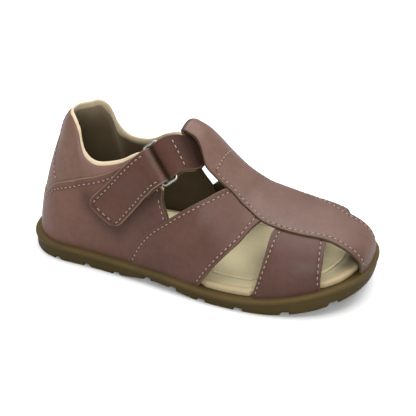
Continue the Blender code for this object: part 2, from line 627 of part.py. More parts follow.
def build_closure_strap(material):
    """Strap fastened on the outer quarter: free end on top, round the ring, sewn leg beneath."""
    centre, along, across, normal = ring_frame()
    bar = centre - across * RING_SHORT / 2.0
    v = np.linspace(-1.0, 1.0, BAND_ACROSS)

    def leg(d, lift, side, ease):
        edge_a = np.outer(1.0 - d / STRAP_REACH, RING_STRAP_BAR[0]) + np.outer(d / STRAP_REACH, STRAP_END[0])
        edge_b = np.outer(1.0 - d / STRAP_REACH, RING_STRAP_BAR[1]) + np.outer(d / STRAP_REACH, STRAP_END[1])
        left = np.clip(STRAP_CORNER - (STRAP_REACH - d), 0.0, STRAP_CORNER)
        trim = (STRAP_CORNER - np.sqrt(np.maximum(STRAP_CORNER ** 2 - left ** 2, 0.0))) / STRAP_HALF
        share = 0.5 + 0.5 * v[None, :] * (1.0 - STRAP_TRIM * trim[:, None])
        chart = edge_a[:, None, :] * (1.0 - share[..., None]) + edge_b[:, None, :] * share[..., None]
        laid = lay(chart, np.broadcast_to(lift[:, None], share.shape))
        flat = bar + normal * WRAP_RADIUS * side + v[None, :, None] * STRAP_HALF * along
        flat = flat - d[:, None, None] * across
        near = 1.0 - smooth(0.0, ease, d)[:, None, None]
        return laid * (1.0 - near) + flat * near

    far = np.array(STRAP_TOP_ROWS)
    top = leg(far, hermite(STRAP_TOP_D, STRAP_TOP_LIFT, far), 1.0, STRAP_TOP_EASE)
    turn = wrap(bar, along, normal, across, v)
    back = np.array(STRAP_LOW_ROWS)
    low = leg(back, np.full_like(back, STRAP_LOW_LIFT), -1.0, STRAP_LOW_EASE)
    return build_band("closure_strap", np.concatenate([top, turn, low])[:, ::-1], material)


def build_ring_tab(material):
    """Tab from the inner quarter, under the tongue, folded round the ring's upper bar."""
    centre, along, across, normal = ring_frame()
    bar = centre + across * RING_SHORT / 2.0
    v = np.linspace(-1.0, 1.0, BAND_ACROSS)

    def edge(rows, share):
        rows = np.array(rows)
        first = (rows[1] - rows[0]) / (TAB_SHARE[1] - TAB_SHARE[0])
        last = (rows[-1] - rows[-2]) / (TAB_SHARE[-1] - TAB_SHARE[-2])
        return np.stack([hermite(TAB_SHARE, rows[:, k], share, (first[k], last[k])) for k in (0, 1)], -1)

    def leg(d, drop, side):
        share = d / TAB_REACH
        mix = (0.5 + 0.5 * v)[None, :, None]
        chart = edge(TAB_REAR, share)[:, None, :] * (1.0 - mix) + edge(TAB_FRONT, share)[:, None, :] * mix
        rear = np.interp(share, TAB_LIFT_SHARE, TAB_LIFT_REAR)[:, None]
        front = np.interp(share, TAB_LIFT_SHARE, TAB_LIFT_FRONT)[:, None]
        laid = lay(chart, rear + (front - rear) * mix[..., 0] - drop)
        flat = bar + normal * WRAP_RADIUS * side + v[None, :, None] * STRAP_HALF * along
        flat = flat + d[:, None, None] * across
        near = 1.0 - smooth(0.0, TAB_RETURN, d)[:, None, None]
        return laid * (1.0 - near) + flat * near

    def rows(reach_to):
        return np.linspace(TAB_NEAR_RING, reach_to, round((reach_to - TAB_NEAR_RING) / TAB_PITCH) + 1)

    low = leg(rows(TAB_RETURN)[::-1], TAB_LOW_DROP, -1.0)
    turn = wrap(bar, along, normal, -across, v)[::-1]
    top = leg(rows(TAB_REACH), 0.0, 1.0)
    return build_band("ring_tab", np.concatenate([low, turn, top])[:, ::-1], material)


def build_bar_loop(material):
    """Folded end of the tongue: a turn at the rear and a leg back under the tab."""
    turn = np.linspace(math.pi / 2.0, 1.5 * math.pi, WRAP_STEPS)[:-1]
    px = np.concatenate([LOOP_X + LOOP_RADIUS * np.cos(turn), LOOP_LEG_X])
    lift = np.concatenate([LOOP_MID + LOOP_RADIUS * np.sin(turn), LOOP_LEG_LIFT])
    half = np.concatenate([np.full_like(turn, LOOP_LEG_HALF[0]), LOOP_LEG_HALF])
    v = np.linspace(-1.0, 1.0, BAND_ACROSS)
    chart = np.stack([np.broadcast_to(px[:, None], (len(px), len(v))), half[:, None] * v], -1)
    middle = lay(chart, np.broadcast_to(lift[:, None], chart.shape[:2]))
    return build_band("bar_loop", middle[:, ::-1], material)


def plan_centre():
    """Middle of the sole's plan box, on the floor."""
    x = np.linspace(0.0, LENGTH, 400)
    wall = max(out for out, _ in WALL_FROM_SEAT)
    low = plan_side(x, wall, -1.0)[:, 1].min()
    high = plan_side(x, wall, 1.0)[:, 1].max()
    return np.array([LENGTH / 2.0, (low + high) / 2.0, 0.0])


CENTRE = plan_centre()


def main():
    """Clear the file and build every piece."""
    for old in list(bpy.data.objects):
        bpy.data.objects.remove(old, do_unlink=True)
    leather = make_material("leather", LEATHER)
    dark = make_material("leather_dark", LEATHER_DARK)
    build_outsole(make_material("rubber", RUBBER))
    build_insole(make_material("footbed", FOOTBED))
    build_upper(leather)
    build_bar_loop(dark)
    build_ring_tab(make_material("tab_leather", LEATHER))
    build_closure_strap(make_material("strap_leather", LEATHER))
    build_ring(make_material("steel", STEEL))


main()
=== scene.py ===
"""Child's closed-toe T-bar sandal for the right foot, dressed in leather, lining, thread and rubber.

Shapes are worked out in millimetres in the fit frame: heel back at x = 0, toe along +x, outer (lateral)
side along -y, floor at z = 0. A pattern chart wraps round the foot form: chart X runs along the foot and
chart Y is the girth from the centre line, so every leather piece is drawn flat and then laid on the form.
Meshes are moved to the row frame, in metres, when they are made.
"""
import math

import bpy
import bmesh
import numpy as np
from mathutils import Matrix


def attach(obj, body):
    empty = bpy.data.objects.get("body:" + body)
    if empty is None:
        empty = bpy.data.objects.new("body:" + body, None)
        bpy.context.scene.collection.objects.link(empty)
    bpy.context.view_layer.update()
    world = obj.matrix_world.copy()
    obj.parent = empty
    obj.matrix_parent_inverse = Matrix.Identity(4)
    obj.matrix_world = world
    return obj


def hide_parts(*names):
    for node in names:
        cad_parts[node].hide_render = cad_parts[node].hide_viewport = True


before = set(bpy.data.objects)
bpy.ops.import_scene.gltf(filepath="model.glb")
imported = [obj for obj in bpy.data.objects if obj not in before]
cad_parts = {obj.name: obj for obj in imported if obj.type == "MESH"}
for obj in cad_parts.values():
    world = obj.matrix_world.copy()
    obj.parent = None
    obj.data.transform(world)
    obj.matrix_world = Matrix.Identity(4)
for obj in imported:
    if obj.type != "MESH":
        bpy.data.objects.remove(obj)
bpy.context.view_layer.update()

# Overall sizes in millimetres, as in the part's source
MM = 0.001
LENGTH = 170.0
LEDGE = 3.0
HEEL_FOCUS = 30.0
WAIST_X = 66.0
TOE_FOCUS = 114.0
TOE_DRIFT = 4.0
GIRTH = 60.0
TUCK = 0.6
# Working values: smallest length, weld distance in metres, step for slopes, spacing of curves, stations
TINY = 1e-9
WELD = 1e-6
CHART_STEP = 0.06
CURVE_PITCH = 0.5
PLAN_STATIONS = 400
SWEEP_STATIONS = 6000

# Half widths of the feather line at heel, waist and ball, and roundness of both ends
HALF_LATERAL = (26.4, 29.2, 35.4)
HALF_MEDIAL = (25.7, 24.5, 35.0)
HEEL_ROUND = 2.4
TOE_ROUND_LATERAL = 2.15
TOE_ROUND_MEDIAL = 2.85

# Foot form along X: height of the feather line, height of the ridge, squareness of the section
SEAT_X = (0.0, 76.0, 122.0, 170.0)
SEAT_Z = (9.0, 7.9, 7.2, 16.5)
SEAT_TOE_SLOPE = 0.15
CREST_X = (0.0, 30.0, 46.0, 62.0, 78.0, 94.0, 106.0, 118.0, 130.0, 148.0, 170.0)
CREST_Z = (82.0, 82.0, 80.0, 75.5, 69.0, 57.8, 47.5, 40.0, 35.6, 33.6, 33.0)
SQUARE_X = (3.0, 30.0, 46.0, 62.0, 94.0, 118.0, 148.0, 170.0)
SQUARE_N = (1.45, 1.85, 1.62, 1.65, 1.90, 2.10, 2.90, 3.00)

# Walking face: arch, toe spring, heel bevel, cross grooves, raised diamonds between them
ARCH_FROM = 52.0
ARCH_TO = 100.0
ARCH_RISE = 2.4
SPRING_FROM = 124.0
SPRING_RISE = 9.5
HEEL_BEVEL = 8.0
HEEL_BEVEL_RISE = 0.8
GROOVE_X = (21.5, 38.0, 54.5, 71.5, 85.5, 100.5, 118.5, 139.5, 158.5)
GROOVE_HALF = 2.0
GROOVE_SLOPE = 0.5
GROOVE_LEAN = 0.2
GROOVE_DEPTH = 1.5
GROOVE_CLEAR = 0.6
GROOVE_WALL = (-1.0, -0.6, 0.0, 0.6, 1.0)
GROOVE_RISE = (0.0, 0.2, 0.5, 0.8, 1.0)
DIAMOND = 5.0
DIAMOND_DEPTH = 0.45
DIAMOND_MARGIN = 4.0
DIAMOND_FADE = 0.6
DIAMOND_RAMP = 0.12
SOLE_STATIONS = 190
UNDER_WIDTH = 70.0
UNDER_PITCH = 0.95
LEDGE_COLUMNS = 24

# Sole wall from the walking face up: outward from the feather line, height above the floor line
WALL_FROM_FLOOR = ((1.5, 0.0), (1.85, 0.12), (2.1, 0.34), (2.3, 0.8), (2.4, 1.5))
# The same above, with heights from the feather line: plain wall, rounded bead, ledge
WALL_FROM_SEAT = ((2.4, -3.5), (2.38, -3.2), (2.5, -3.0), (2.8, -2.75), (3.0, -2.3), (3.05, -1.85),
                  (2.98, -1.4), (2.75, -1.0), (2.35, -0.7), (1.8, -0.5), (1.1, -0.4), (0.3, -0.35))
# Painted highlight on the rubber's bead: height of its middle, fade, and share of it on the hidden ledge
BEAD_TOP = -1.4
BEAD_RUN = 1.6
LEDGE_PAINTED_HIGHLIGHT = 0.2

# Insole edge: outward from its rim, height above the feather line
INSOLE_EDGE = ((-0.4, -0.3), (-0.1, -0.1), (0.0, 0.5), (-0.02, 1.3), (-0.15, 1.9), (-0.45, 2.35), (-0.9, 2.6),
               (-1.6, 2.72), (-2.7, 2.8))
# Insole rim: distance along the feather line from the heel's focus, outward from the feather line; it stands
# inside quarter, straps and toe cap and reaches out to the ledge in the gaps between them
RIM_OUTER_AT = (60.5, 63.0, 69.5, 71.5, 98.0, 100.5, 143.0, 145.5, 154.0, 166.5)
RIM_INNER_AT = (59.6, 62.0, 69.5, 71.5, 98.0, 100.5, 139.0, 141.5, 154.0, 166.5)
RIM_OUT = (-2.8, -1.8, -1.8, -0.5, -0.5, -2.2, -2.2, -0.5, -0.5, -2.2)
# Footbed mesh: rays along a side and round an end, lines in from the edge, lines further in
RIM_RAYS = (66, 145)
INSOLE_LINES = (0.5, 1.2, 2.2, 3.4, 4.6, 5.5, 6.0, 6.35, 6.6, 6.85, 7.2, 7.7, 8.6, 10.0, 12.0)
BED_LINES = 12
# Pressed border line, and the hollow of the heel seat: depth, ramp in from the edge, middle and reach along X
BORDER_AT = 6.6
BORDER_HALF = 0.42
BORDER_DEPTH = 0.5
FOOTBED_CUP = 0.5
CUP_RAMP = (2.0, 16.0)
CUP_X = (40.0, 60.0)
# Footbed's painted light and shade: darkening behind the toe gap, so that the toe in the toe cap's shade
# reads lighter; painted shade along the lit edge (middle, toe) with its run inwards; a painted lighter patch
# on the inner half under the slot
BED_PAINTED_TOE_LIGHT = 0.37
BED_PAINTED_TOE_LIGHT_X = (156.0, 138.0)
BED_EDGE_PAINTED_SHADE = (0.52, 0.76)
BED_EDGE_PAINTED_SHADE_X = (138.0, 158.0)
BED_EDGE_PAINTED_SHADE_RUN = (24.0, 10.0)
BED_EDGE_PAINTED_SHADE_FULL = 2.0
BED_PAINTED_LIGHT = 0.62
BED_PAINTED_LIGHT_X = (62.0, 11.0)
BED_PAINTED_LIGHT_Y = (4.0, 14.0)

# Leather levels: outer face measured from the form, then inner faces
LEVEL_COLLAR = -0.8
LEVEL_COUNTER = -0.1
LEVEL_STRAP_TWO = 0.3
LEVEL_STRAP_ONE = 0.6
LEVEL_BAR = 1.2
STRAP_BACK = -1.25
INNER_COUNTER = -1.2
INNER_COLLAR = -1.7
INNER_LINING = -2.2
# Lining: thickness, shares of it at the front edge and added behind, end above the hem, lines down
LINING_WALL = 0.45
LINING_FRONT = (0.4, 0.6)
LINING_HEM = 0.5
LINING_LINES = 40
# Sink of a strap under the bar; swell of the collar's padding outwards, inwards, and its depth below the rim
UNDER_BAR = 1.15
PAD_OUT = 0.75
PAD_IN = 0.5
PAD_DEPTH = 9.0

# T-bar, tongue included: chart X and half width
BAR_X = (80.5, 84.0, 87.0, 89.7, 92.4, 98.4, 105.2, 110.7, 116.3,
         121.0, 125.4, 130.3, 139.2, 149.3, 160.6, 170.6, 182.0)
BAR_HALF = (8.6, 8.5, 10.2, 12.8, 15.2, 15.2, 14.6, 16.0, 16.8,
            16.3, 13.8, 11.9, 9.9, 10.6, 11.4, 11.4, 12.0)
# Toe end drawn back to a circle from this X on; thicker belly under the bar: half width, depth, ramps, end
BAR_PULL_FROM = 150.0
BAR_BELLY = 5.0
BELLY_DEPTH = 1.3
BELLY_RAMP = (3.0, 6.0)
BELLY_END = 4.0
# Bar's seams: where the edge rows begin, room at both ends, the row across; painted shade of the bar towards
# the toe and of the tongue's turn and leg
BAR_SEAM_X = (94.0, 97.0)
BAR_ROW_ROOM = (1.6, 2.5)
BAR_CROSS_ROW = 96.6
BAR_CROSS_ROOM = 0.8
BAR_SHADE = 0.16
BAR_SHADE_X = (94.0, 112.0)
TURN_SHADE = 0.55

# Tongue over the tab: chart X, lift of its inner face, lift of its outer face
TONGUE_X = (79.0, 85.0, 90.0, 95.5, 102.0)
TONGUE_INNER = (2.3, 2.1, 1.3, 0.2, -0.35)
TONGUE_OUTER = (3.65, 4.2, 3.1, 1.7, 1.2)

# Turn of the tongue: chart X, lift and radius of its middle; leg back under the tab: chart X, lift of its
# middle, half width; lines of both
LOOP_X = 80.2
LOOP_MID = 1.17
LOOP_RADIUS = 1.83
LOOP_LEG_X = (80.4, 88.0, 94.0, 99.5, 105.0)
LOOP_LEG_LIFT = (-0.66, -1.7, -2.6, -2.9, -2.9)
LOOP_LEG_HALF = (8.6, 8.6, 8.8, 9.0, 9.0)
LOOP_LEG_LINES = 30
LOOP_TURN_LINES = 17

# Straps: chart Y, and chart X of the edge there; the inner side has its own edges where it differs
STRAP_ONE_REAR = ((11.0, 104.6), (18.7, 100.8), (26.7, 96.0), (34.7, 88.6), (42.0, 79.5), (47.4, 70.8),
                  (52.0, 65.4), (56.5, 62.2), (66.0, 57.0))
STRAP_ONE_REAR_INNER = ((11.0, 108.2), (18.7, 105.6), (26.7, 101.6), (34.7, 95.0), (42.0, 86.6), (47.4, 79.6),
                        (52.0, 74.6), (56.5, 70.8), (66.0, 65.0))
STRAP_ONE_FRONT = ((13.0, 121.0), (16.6, 120.4), (24.0, 118.5), (31.5, 115.9), (37.2, 112.9), (42.3, 109.8),
                   (47.7, 106.3), (53.4, 102.5), (59.1, 98.8), (66.0, 94.4))
STRAP_TWO_REAR = ((8.0, 124.6), (15.7, 125.2), (27.2, 127.8), (33.7, 129.0), (42.0, 130.0), (50.5, 130.5),
                  (57.3, 130.3), (66.0, 129.6))
STRAP_TWO_FRONT = ((6.0, 137.2), (10.6, 140.8), (21.0, 149.6), (30.6, 158.9), (34.0, 163.6), (39.0, 170.0))
STRAP_TWO_FRONT_INNER = ((6.0, 136.0), (10.6, 138.2), (21.0, 144.5), (30.6, 153.0), (34.0, 157.4),
                         (40.0, 165.0))
# Straps: lines along and across while the hem is looked for, first line searched, start of a stitch row
STRAP_GRID = (200, 50)
STRAP_HEM_ROW = 60
STRAP_ROW_FROM = 0.02
# Straps against their neighbours: ramps under the bar and over the quarter, gap over the quarter, least
# thickness, room of a stitch row beside the bar and above the hem
STRAP_UNDER_BAR = (-0.8, 1.6)
STRAP_OVER_QUARTER = (-2.6, -0.5)
STRAP_GAP = 0.05
STRAP_LEAST = 0.25
STRAP_ROW_ROOM = (0.6, 1.0)

# Quarter, counter and heel, outer half from the front to the heel back: chart X, chart Y
# (the front edge runs from the top down)
QUARTER_FRONT = ((76.2, 33.4), (76.2, 36.0), (77.6, 38.5), (80.0, 41.5), (86.0, 52.0), (93.0, 64.0))
QUARTER_TOP = ((76.2, 33.4), (71.0, 31.0), (67.0, 28.4), (64.4, 26.2), (62.6, 25.2))
COLLAR = ((62.6, 25.2), (59.8, 26.4), (53.8, 29.6), (46.5, 32.0), (40.1, 33.4), (35.4, 32.4), (33.1, 29.8),
          (30.8, 25.4), (25.5, 21.4), (19.0, 16.5), (14.2, 10.8), (11.4, 5.2), (10.5, 0.0))
COUNTER = ((62.6, 25.2), (57.1, 29.5), (51.0, 32.8), (45.3, 35.3), (38.5, 38.1), (30.0, 41.0))
COUNTER_HEEL = ((30.0, 41.0), (22.5, 40.6), (14.3, 38.5), (0.2, 32.4), (-6.1, 25.6), (-10.6, 17.8),
                (-13.3, 8.8), (-14.1, 2.9), (-14.15, 0.0))

# The same for the inner half, whose quarter is higher at the front
QUARTER_FRONT_INNER = ((72.6, 28.5), (74.2, 33.5), (75.8, 38.0), (78.0, 41.6), (81.5, 46.0), (86.0, 54.0),
                       (91.5, 64.0))
QUARTER_TOP_INNER = ((72.6, 28.5), (71.6, 25.8), (69.4, 24.4), (66.8, 24.9), (64.6, 25.9))
COLLAR_INNER = ((64.6, 25.9), (61.8, 27.2), (58.1, 29.5), (52.5, 31.8), (44.5, 33.4), (39.7, 33.9),
                (36.0, 33.0), (34.0, 30.6), (33.2, 27.8), (32.2, 24.8), (30.0, 22.8), (26.0, 21.3),
                (19.3, 18.3), (14.0, 12.0), (11.5, 6.0), (10.5, 0.0))
COUNTER_INNER = ((64.6, 25.9), (58.6, 30.8), (52.0, 33.9), (45.5, 36.0), (38.5, 38.4), (30.0, 41.0))
# Quarter: run of the forward sweep at its front, share of rim length in the stations, end of the front
# rows, tone
FRONT_FADE = 34.0
RIM_SHARE = 0.6
FRONT_ROW_END = 47.0
QUARTER_SHADE = 0.40
QUARTER_SHADE_X = (20.0, 70.0)
# Collar panel: reach under the counter with its ramp and sink, gap below the rim with the fall beside it,
# shortening at the ends, least height and thickness
COLLAR_UNDERLAP = 3.0
COLLAR_TUCK = (-0.6, 1.2)
COLLAR_SINK = 0.45
COLLAR_GAP = 0.3
RIM_FALL = 0.3
RIM_FALL_RUN = 1.2
COLLAR_SHORT = 1.0
COLLAR_LEAST = 0.3

# Heel stay: girth, and hem distance from the heel back of its stitched edge; row behind that edge, step and
# its ramp, room of the row below the rim and above the counter
STAY_GIRTH = (20.0, 27.0, 35.0, 42.0)
STAY_REACH = (30.0, 38.0, 51.8, 71.0)
STAY_ROW = 1.2
STAY_WALL = 0.3
STAY_RAMP = (-0.5, 0.6)
STAY_ROW_ROOM = (2.0, 1.0)

# Lining rolled over the rim: depth below the rim, lift
LINING_ROLL = ((1.4, -1.15), (0.9, -0.9), (0.35, -0.82), (-0.1, -0.92), (-0.42, -1.25), (-0.45, -1.7),
               (-0.15, -2.1), (0.5, -2.35), (1.4, -2.5))
# Pale roll: depth where it ends, ramp there, how much narrower it is at the inner front; painted light on the
# lining behind, fading down from the rim: depth, strength and hem distance of its ends; most lean of the rim
# and run over which it is evened
ROLL_END = 1.9
ROLL_RAMP = 0.6
ROLL_NARROW = 0.9
ROLL_FADE = 13.0
LINING_PAINTED_LIGHT = 0.36
PAINTED_LIGHT_REACH = (104.0, 91.0)
LEAN_MOST = 2.6
LEAN_EVEN = 9

# Ring: its corners on the chart, lift, size along the wire's middle, corner radius, wire radius, mesh
RING_STRAP_BAR = ((64.5, -24.8), (77.3, -30.7))
RING_TAB_BAR = ((70.6, -18.6), (81.8, -26.6))
RING_LIFT = 2.6
RING_LONG = 19.9
RING_SHORT = 7.4
RING_CORNER = 1.7
WIRE = 0.76
RING_BEND_POINTS = 12
RING_SIDES = 24

# Both bands at the ring: half width, thickness, half turn round the wire (radius, reach, lines), first line
# after it
STRAP_HALF = 8.8
BAND_WALL = 1.4
WRAP_RADIUS = 1.9
WRAP_REACH = 2.3
WRAP_LINES = 15
NEAR_RING = 0.4

# Closure strap: edges at the free end, length on top, rounding of its corners, length beneath
STRAP_END = ((38.2, -44.6), (54.9, -48.8))
STRAP_REACH = 36.0
STRAP_CORNER = 5.0
STRAP_TRIM = 0.9
STRAP_RETURN = 13.0
# Its lift by distance from the ring, the run in which either leg leaves the ring's plane, lines beneath
STRAP_TOP_D = (0.0, 14.0, 22.0, 36.0)
STRAP_TOP_LIFT = (4.5, 2.7, 1.0, 1.3)
STRAP_LOW_LIFT = 0.95
STRAP_TOP_EASE = 9.0
STRAP_LOW_EASE = 5.0
STRAP_LOW_LINES = 18
# Its stitch rows: room at both ends, columns from the long rows to the end row; paleness of its cut edge; its
# shadow on the quarter: strength, fade
STRAP_ROW_ENDS = (0.4, 1.0)
STRAP_END_COLUMNS = 2.5
STRAP_RAW = 0.9
STRAP_SHADOW = 0.45
STRAP_SHADOW_RUN = 3.6

# Ring tab: share of its length, edges on the chart, then lift of its middle at either edge
TAB_SHARE = (0.0, 0.16, 0.42, 0.68, 0.82, 1.0)
TAB_REAR = ((70.6, -18.6), (79.4, -9.8), (82.8, 0.5), (80.6, 10.6), (72.8, 21.5), (61.5, 34.0))
TAB_FRONT = ((81.8, -26.6), (90.2, -17.6), (95.6, 0.0), (92.8, 18.3), (84.8, 29.5), (74.5, 43.0))
TAB_LIFT_SHARE = (0.0, 0.05, 0.14, 0.20, 0.60, 0.68, 0.86, 1.0)
TAB_LIFT_REAR = (4.5, 4.0, 1.05, 1.05, 1.05, 1.05, 1.1, 1.1)
TAB_LIFT_FRONT = (4.5, 3.8, 1.0, -0.9, -0.9, -0.5, 1.1, 1.1)
# Its length on top and beneath, drop and lines beneath, row across beside the ring, start of the seams,
# sewn length, room from the long rows to the end row
TAB_REACH = 58.0
TAB_RETURN = 8.0
TAB_LOW_DROP = 2.1
TAB_LOW_LINES = 12
TAB_CROSS_ROW = 4.6
TAB_SEAM_FROM = (3.1, 4.1)
TAB_SEWN = 18.0
TAB_ROW_ROOM = 0.6
# Shade under the tongue: strength, then where it comes in and goes out along the tab
TAB_SHADE = 0.72
TAB_SHADE_FROM = (1.5, 10.0)
TAB_SHADE_TO = (18.0, 32.0)

# Fine mesh: spacing, lines close to an edge, rounding of cut edges; then the edge's tint on its first lines,
# rings down the cut edge, slope from which the cut edge is painted lit, burnish along it; last place of a
# grid with a next line
PITCH = 0.8
EDGE_LINES = (0.0, 0.07, 0.2, 0.42, 0.9)
EDGE_ROUND = 0.26
EDGE_TINT = (0.5, 0.5, 0.5, 0.2)
EDGE_RINGS = (0.12, 0.88)
EDGE_LIT = (-0.5, 0.7)
BURNISH = 0.55
BURNISH_RUN = 1.0
LAST_PLACE = 1.001

# Stitches: pitch, share of it that shows, thread radius, needle hole's radius and rise, distance from the
# edge, trough's half width and depth, least distance of a trough from the edge; then, in thread radii, a
# stitch's height, sinking, thickness at its tips and added in its middle; mesh
STITCH_PITCH = 2.5
STITCH_SHOWN = 0.6
THREAD = 0.27
HOLE = 0.36
HOLE_RISE = 0.06
STITCH_IN = 1.9
TROUGH_HALF = 0.55
TROUGH_DEPTH = 0.14
SEAM_ROOM = 0.7
STITCH_ARCH = 1.05
STITCH_SUNK = 0.55
STITCH_TIP = (0.55, 0.45)
STITCH_STATIONS = 6
STITCH_SIDES = 6
# Points along the stitch lines
BAR_ROW_POINTS = 200
COUNTER_ROW_POINTS = 700
FRONT_ROW_POINTS = 60
STAY_ROW_POINTS = 80
CLOSURE_ROW_POINTS = 120
TAB_ROW_POINTS = 80
CROSS_ROW_POINTS = 40

# Soft creases placed one by one: chart X, chart Y, direction in degrees from chart X, half length, half
# width, height (a trough is negative)
CREASES = (
    (112.0, 0.0, 90.0, 13.0, 3.0, -0.22),
    (118.0, 0.0, 90.0, 15.0, 2.6, 0.18),
    (124.5, 0.0, 90.0, 12.0, 3.2, -0.25),
    (97.0, -38.0, 60.0, 11.0, 2.6, -0.28),
    (92.5, -42.0, 64.0, 10.0, 2.4, 0.20),
    (88.0, -48.0, 62.0, 9.0, 2.2, -0.22),
    (103.0, 40.0, -60.0, 11.0, 2.6, -0.26),
    (94.0, 44.0, -62.0, 10.0, 2.4, 0.18),
    (140.0, -40.0, 75.0, 9.0, 3.0, -0.20),
    (141.0, 40.0, -75.0, 9.0, 3.0, -0.20),
    (44.0, -46.0, 10.0, 14.0, 3.0, -0.18),
    (30.0, -50.0, 20.0, 12.0, 3.4, 0.16),
    (44.0, 46.0, -10.0, 14.0, 3.0, -0.20),
    (26.0, 50.0, -20.0, 12.0, 3.4, 0.16),
)

# Photograph's camera: place round the target in degrees and millimetres, focal length and centre in pixels
VIEW_AZIMUTH = 22.552
VIEW_ELEVATION = 28.0
VIEW_DISTANCE = 450.0
VIEW_TARGET = (85.0, 0.0, 30.0)
IMAGE_PX = 416.0
FOCAL_PX = 954.052
CENTRE_PX = (199.757, 202.766)
SENSOR = 36.0
NEAR_CLIP = 0.01

# Set: half size of the floor in metres, sky strength, then strength, spread and tilt (degrees) of two lights
FLOOR_HALF = 40.0
SKY = 0.12
OVERHEAD = (8.2, 80.0, (-14.0, 8.0))
FRONT_FILL = (4.0, 40.0, (62.0, 26.0))

# Linear colours
# One mauve leather; its copies are painted light (collar), painted sheen (greyer bar) and painted shade
# (straps, tab)
MAUVE = (0.086, 0.0412, 0.0300)
MAUVE_COLLAR_PAINTED_LIGHT = (0.093, 0.0505, 0.0385)
MAUVE_BAR_PAINTED_SHEEN = (0.084, 0.0465, 0.0360)
MAUVE_STRAP_PAINTED_SHADE = (0.055, 0.0258, 0.0188)
MAUVE_FRONT_PAINTED_SHADE = (0.043, 0.0190, 0.0138)
MAUVE_CLOSURE_PAINTED_SHADE = (0.049, 0.0218, 0.0150)
MAUVE_TAB_PAINTED_SHADE = (0.043, 0.0190, 0.0135)
# Cut edges: painted shade where they face down, painted light where they face up or the edge is pale
EDGE_DARK_PAINTED_SHADE = (0.056, 0.034, 0.020)
EDGE_PALE_PAINTED_LIT = (0.125, 0.080, 0.050)
SEAM_DIRT = (0.026, 0.014, 0.010)
# Beige lining, darkened as painted shade of the shoe's inside; then its paler rolled rim
LINING_DARKENED_AS_SHADE = (0.046, 0.0312, 0.0142)
BEIGE_ROLL = (0.330, 0.270, 0.180)
BEIGE_BED = (0.880, 0.760, 0.470)
BED_EDGE = (0.210, 0.160, 0.090)
# Gum rubber, and its paler copy for the painted highlight on the bead
GUM = (0.0285, 0.0190, 0.0046)
GUM_PAINTED_HIGHLIGHT = (0.0450, 0.0295, 0.0090)
THREAD_PINK = (0.200, 0.132, 0.098)
# Needle holes: dark as painted shade of the holes
HOLE_PAINTED_SHADE = (0.022, 0.012, 0.009)
STEEL_GREY = (0.21, 0.21, 0.20)
BORDER_DARK = (0.20, 0.14, 0.06)
FLOOR_WHITE = (0.52, 0.52, 0.52)

# Finish: grain cells per metre, depth of fine relief in metres, roughness and gloss of the leather, and the
# tab's own gloss
LEATHER_PEBBLE = 1500.0
BED_PEBBLE = 1300.0
RELIEF = 0.0003
THREAD_RELIEF = 0.0001
LEATHER_SHINE = (0.42, 0.55)
LEATHER_GLOSS = 0.16
TAB_GLOSS = 0.05


def hermite(stations, values, x, ends=(0.0, 0.0)):
    """Smooth curve through (station, value): mean slopes inside, the given slopes at both ends."""
    s = np.asarray(stations, float)
    v = np.asarray(values, float)
    slope = np.empty_like(v)
    slope[1:-1] = (v[2:] - v[:-2]) / (s[2:] - s[:-2])
    slope[0], slope[-1] = ends
    i = np.clip(np.searchsorted(s, x, side="right") - 1, 0, len(s) - 2)
    h = s[i + 1] - s[i]
    t = (x - s[i]) / h
    rise = t * t * (3.0 - 2.0 * t)
    bend = h * t * (1.0 - t) * ((1.0 - t) * slope[i] - t * slope[i + 1])
    return v[i] + (v[i + 1] - v[i]) * rise + bend


def smooth(low, high, x):
    """Smooth step from 0 at low to 1 at high."""
    t = np.clip((np.asarray(x, float) - low) / (high - low), 0.0, 1.0)
    return t * t * (3.0 - 2.0 * t)


def spine(x):
    """Plan centre line: straight at the heel, drifting to the inner side at the toe."""
    return TOE_DRIFT * np.clip((x - HEEL_FOCUS) / (LENGTH - HEEL_FOCUS), 0.0, 1.0) ** 2


def seat(x):
    """Height of the feather line, where leather meets sole."""
    return hermite(SEAT_X, SEAT_Z, x, (0.0, SEAT_TOE_SLOPE))


def crest(x):
    """Height of the form's ridge."""
    return hermite(CREST_X, CREST_Z, x)


def walking_face(x):
    """Height of the sole's underside: flat heel, arch, flat forefoot, toe spring."""
    t = np.clip((x - ARCH_FROM) / (ARCH_TO - ARCH_FROM), 0.0, 1.0)
    arch = ARCH_RISE * np.sin(math.pi * t) ** 2
    spring = SPRING_RISE * np.clip((x - SPRING_FROM) / (LENGTH - SPRING_FROM), 0.0, 1.0) ** 2
    bevel = HEEL_BEVEL_RISE * np.clip((HEEL_BEVEL - x) / HEEL_BEVEL, 0.0, 1.0) ** 2
    return arch + spring + bevel


def reach(chart):
    """Foot on the ridge, plan direction, distance to the feather line and girth of chart places."""
    x, y = chart[..., 0], chart[..., 1]
    foot = np.clip(x, HEEL_FOCUS, TOE_FOCUS)
    run = x - foot
    girth = np.hypot(run, y)
    safe = np.maximum(girth, TINY)
    cx = run / safe
    cy = np.where(girth > TINY, y / safe, 1.0)
    lateral = cy < 0.0
    stations = (HEEL_FOCUS, WAIST_X, TOE_FOCUS)
    wide = np.where(lateral, hermite(stations, HALF_LATERAL, foot), hermite(stations, HALF_MEDIAL, foot))
    ahead = np.where(run > 0.0, LENGTH - LEDGE - TOE_FOCUS, HEEL_FOCUS - LEDGE)
    power = np.where(run > 0.0, np.where(lateral, TOE_ROUND_LATERAL, TOE_ROUND_MEDIAL), HEEL_ROUND)
    far = ((np.abs(cx) / ahead) ** power + (np.abs(cy) / wide) ** power) ** (-1.0 / power)
    return foot, cx, cy, far, girth


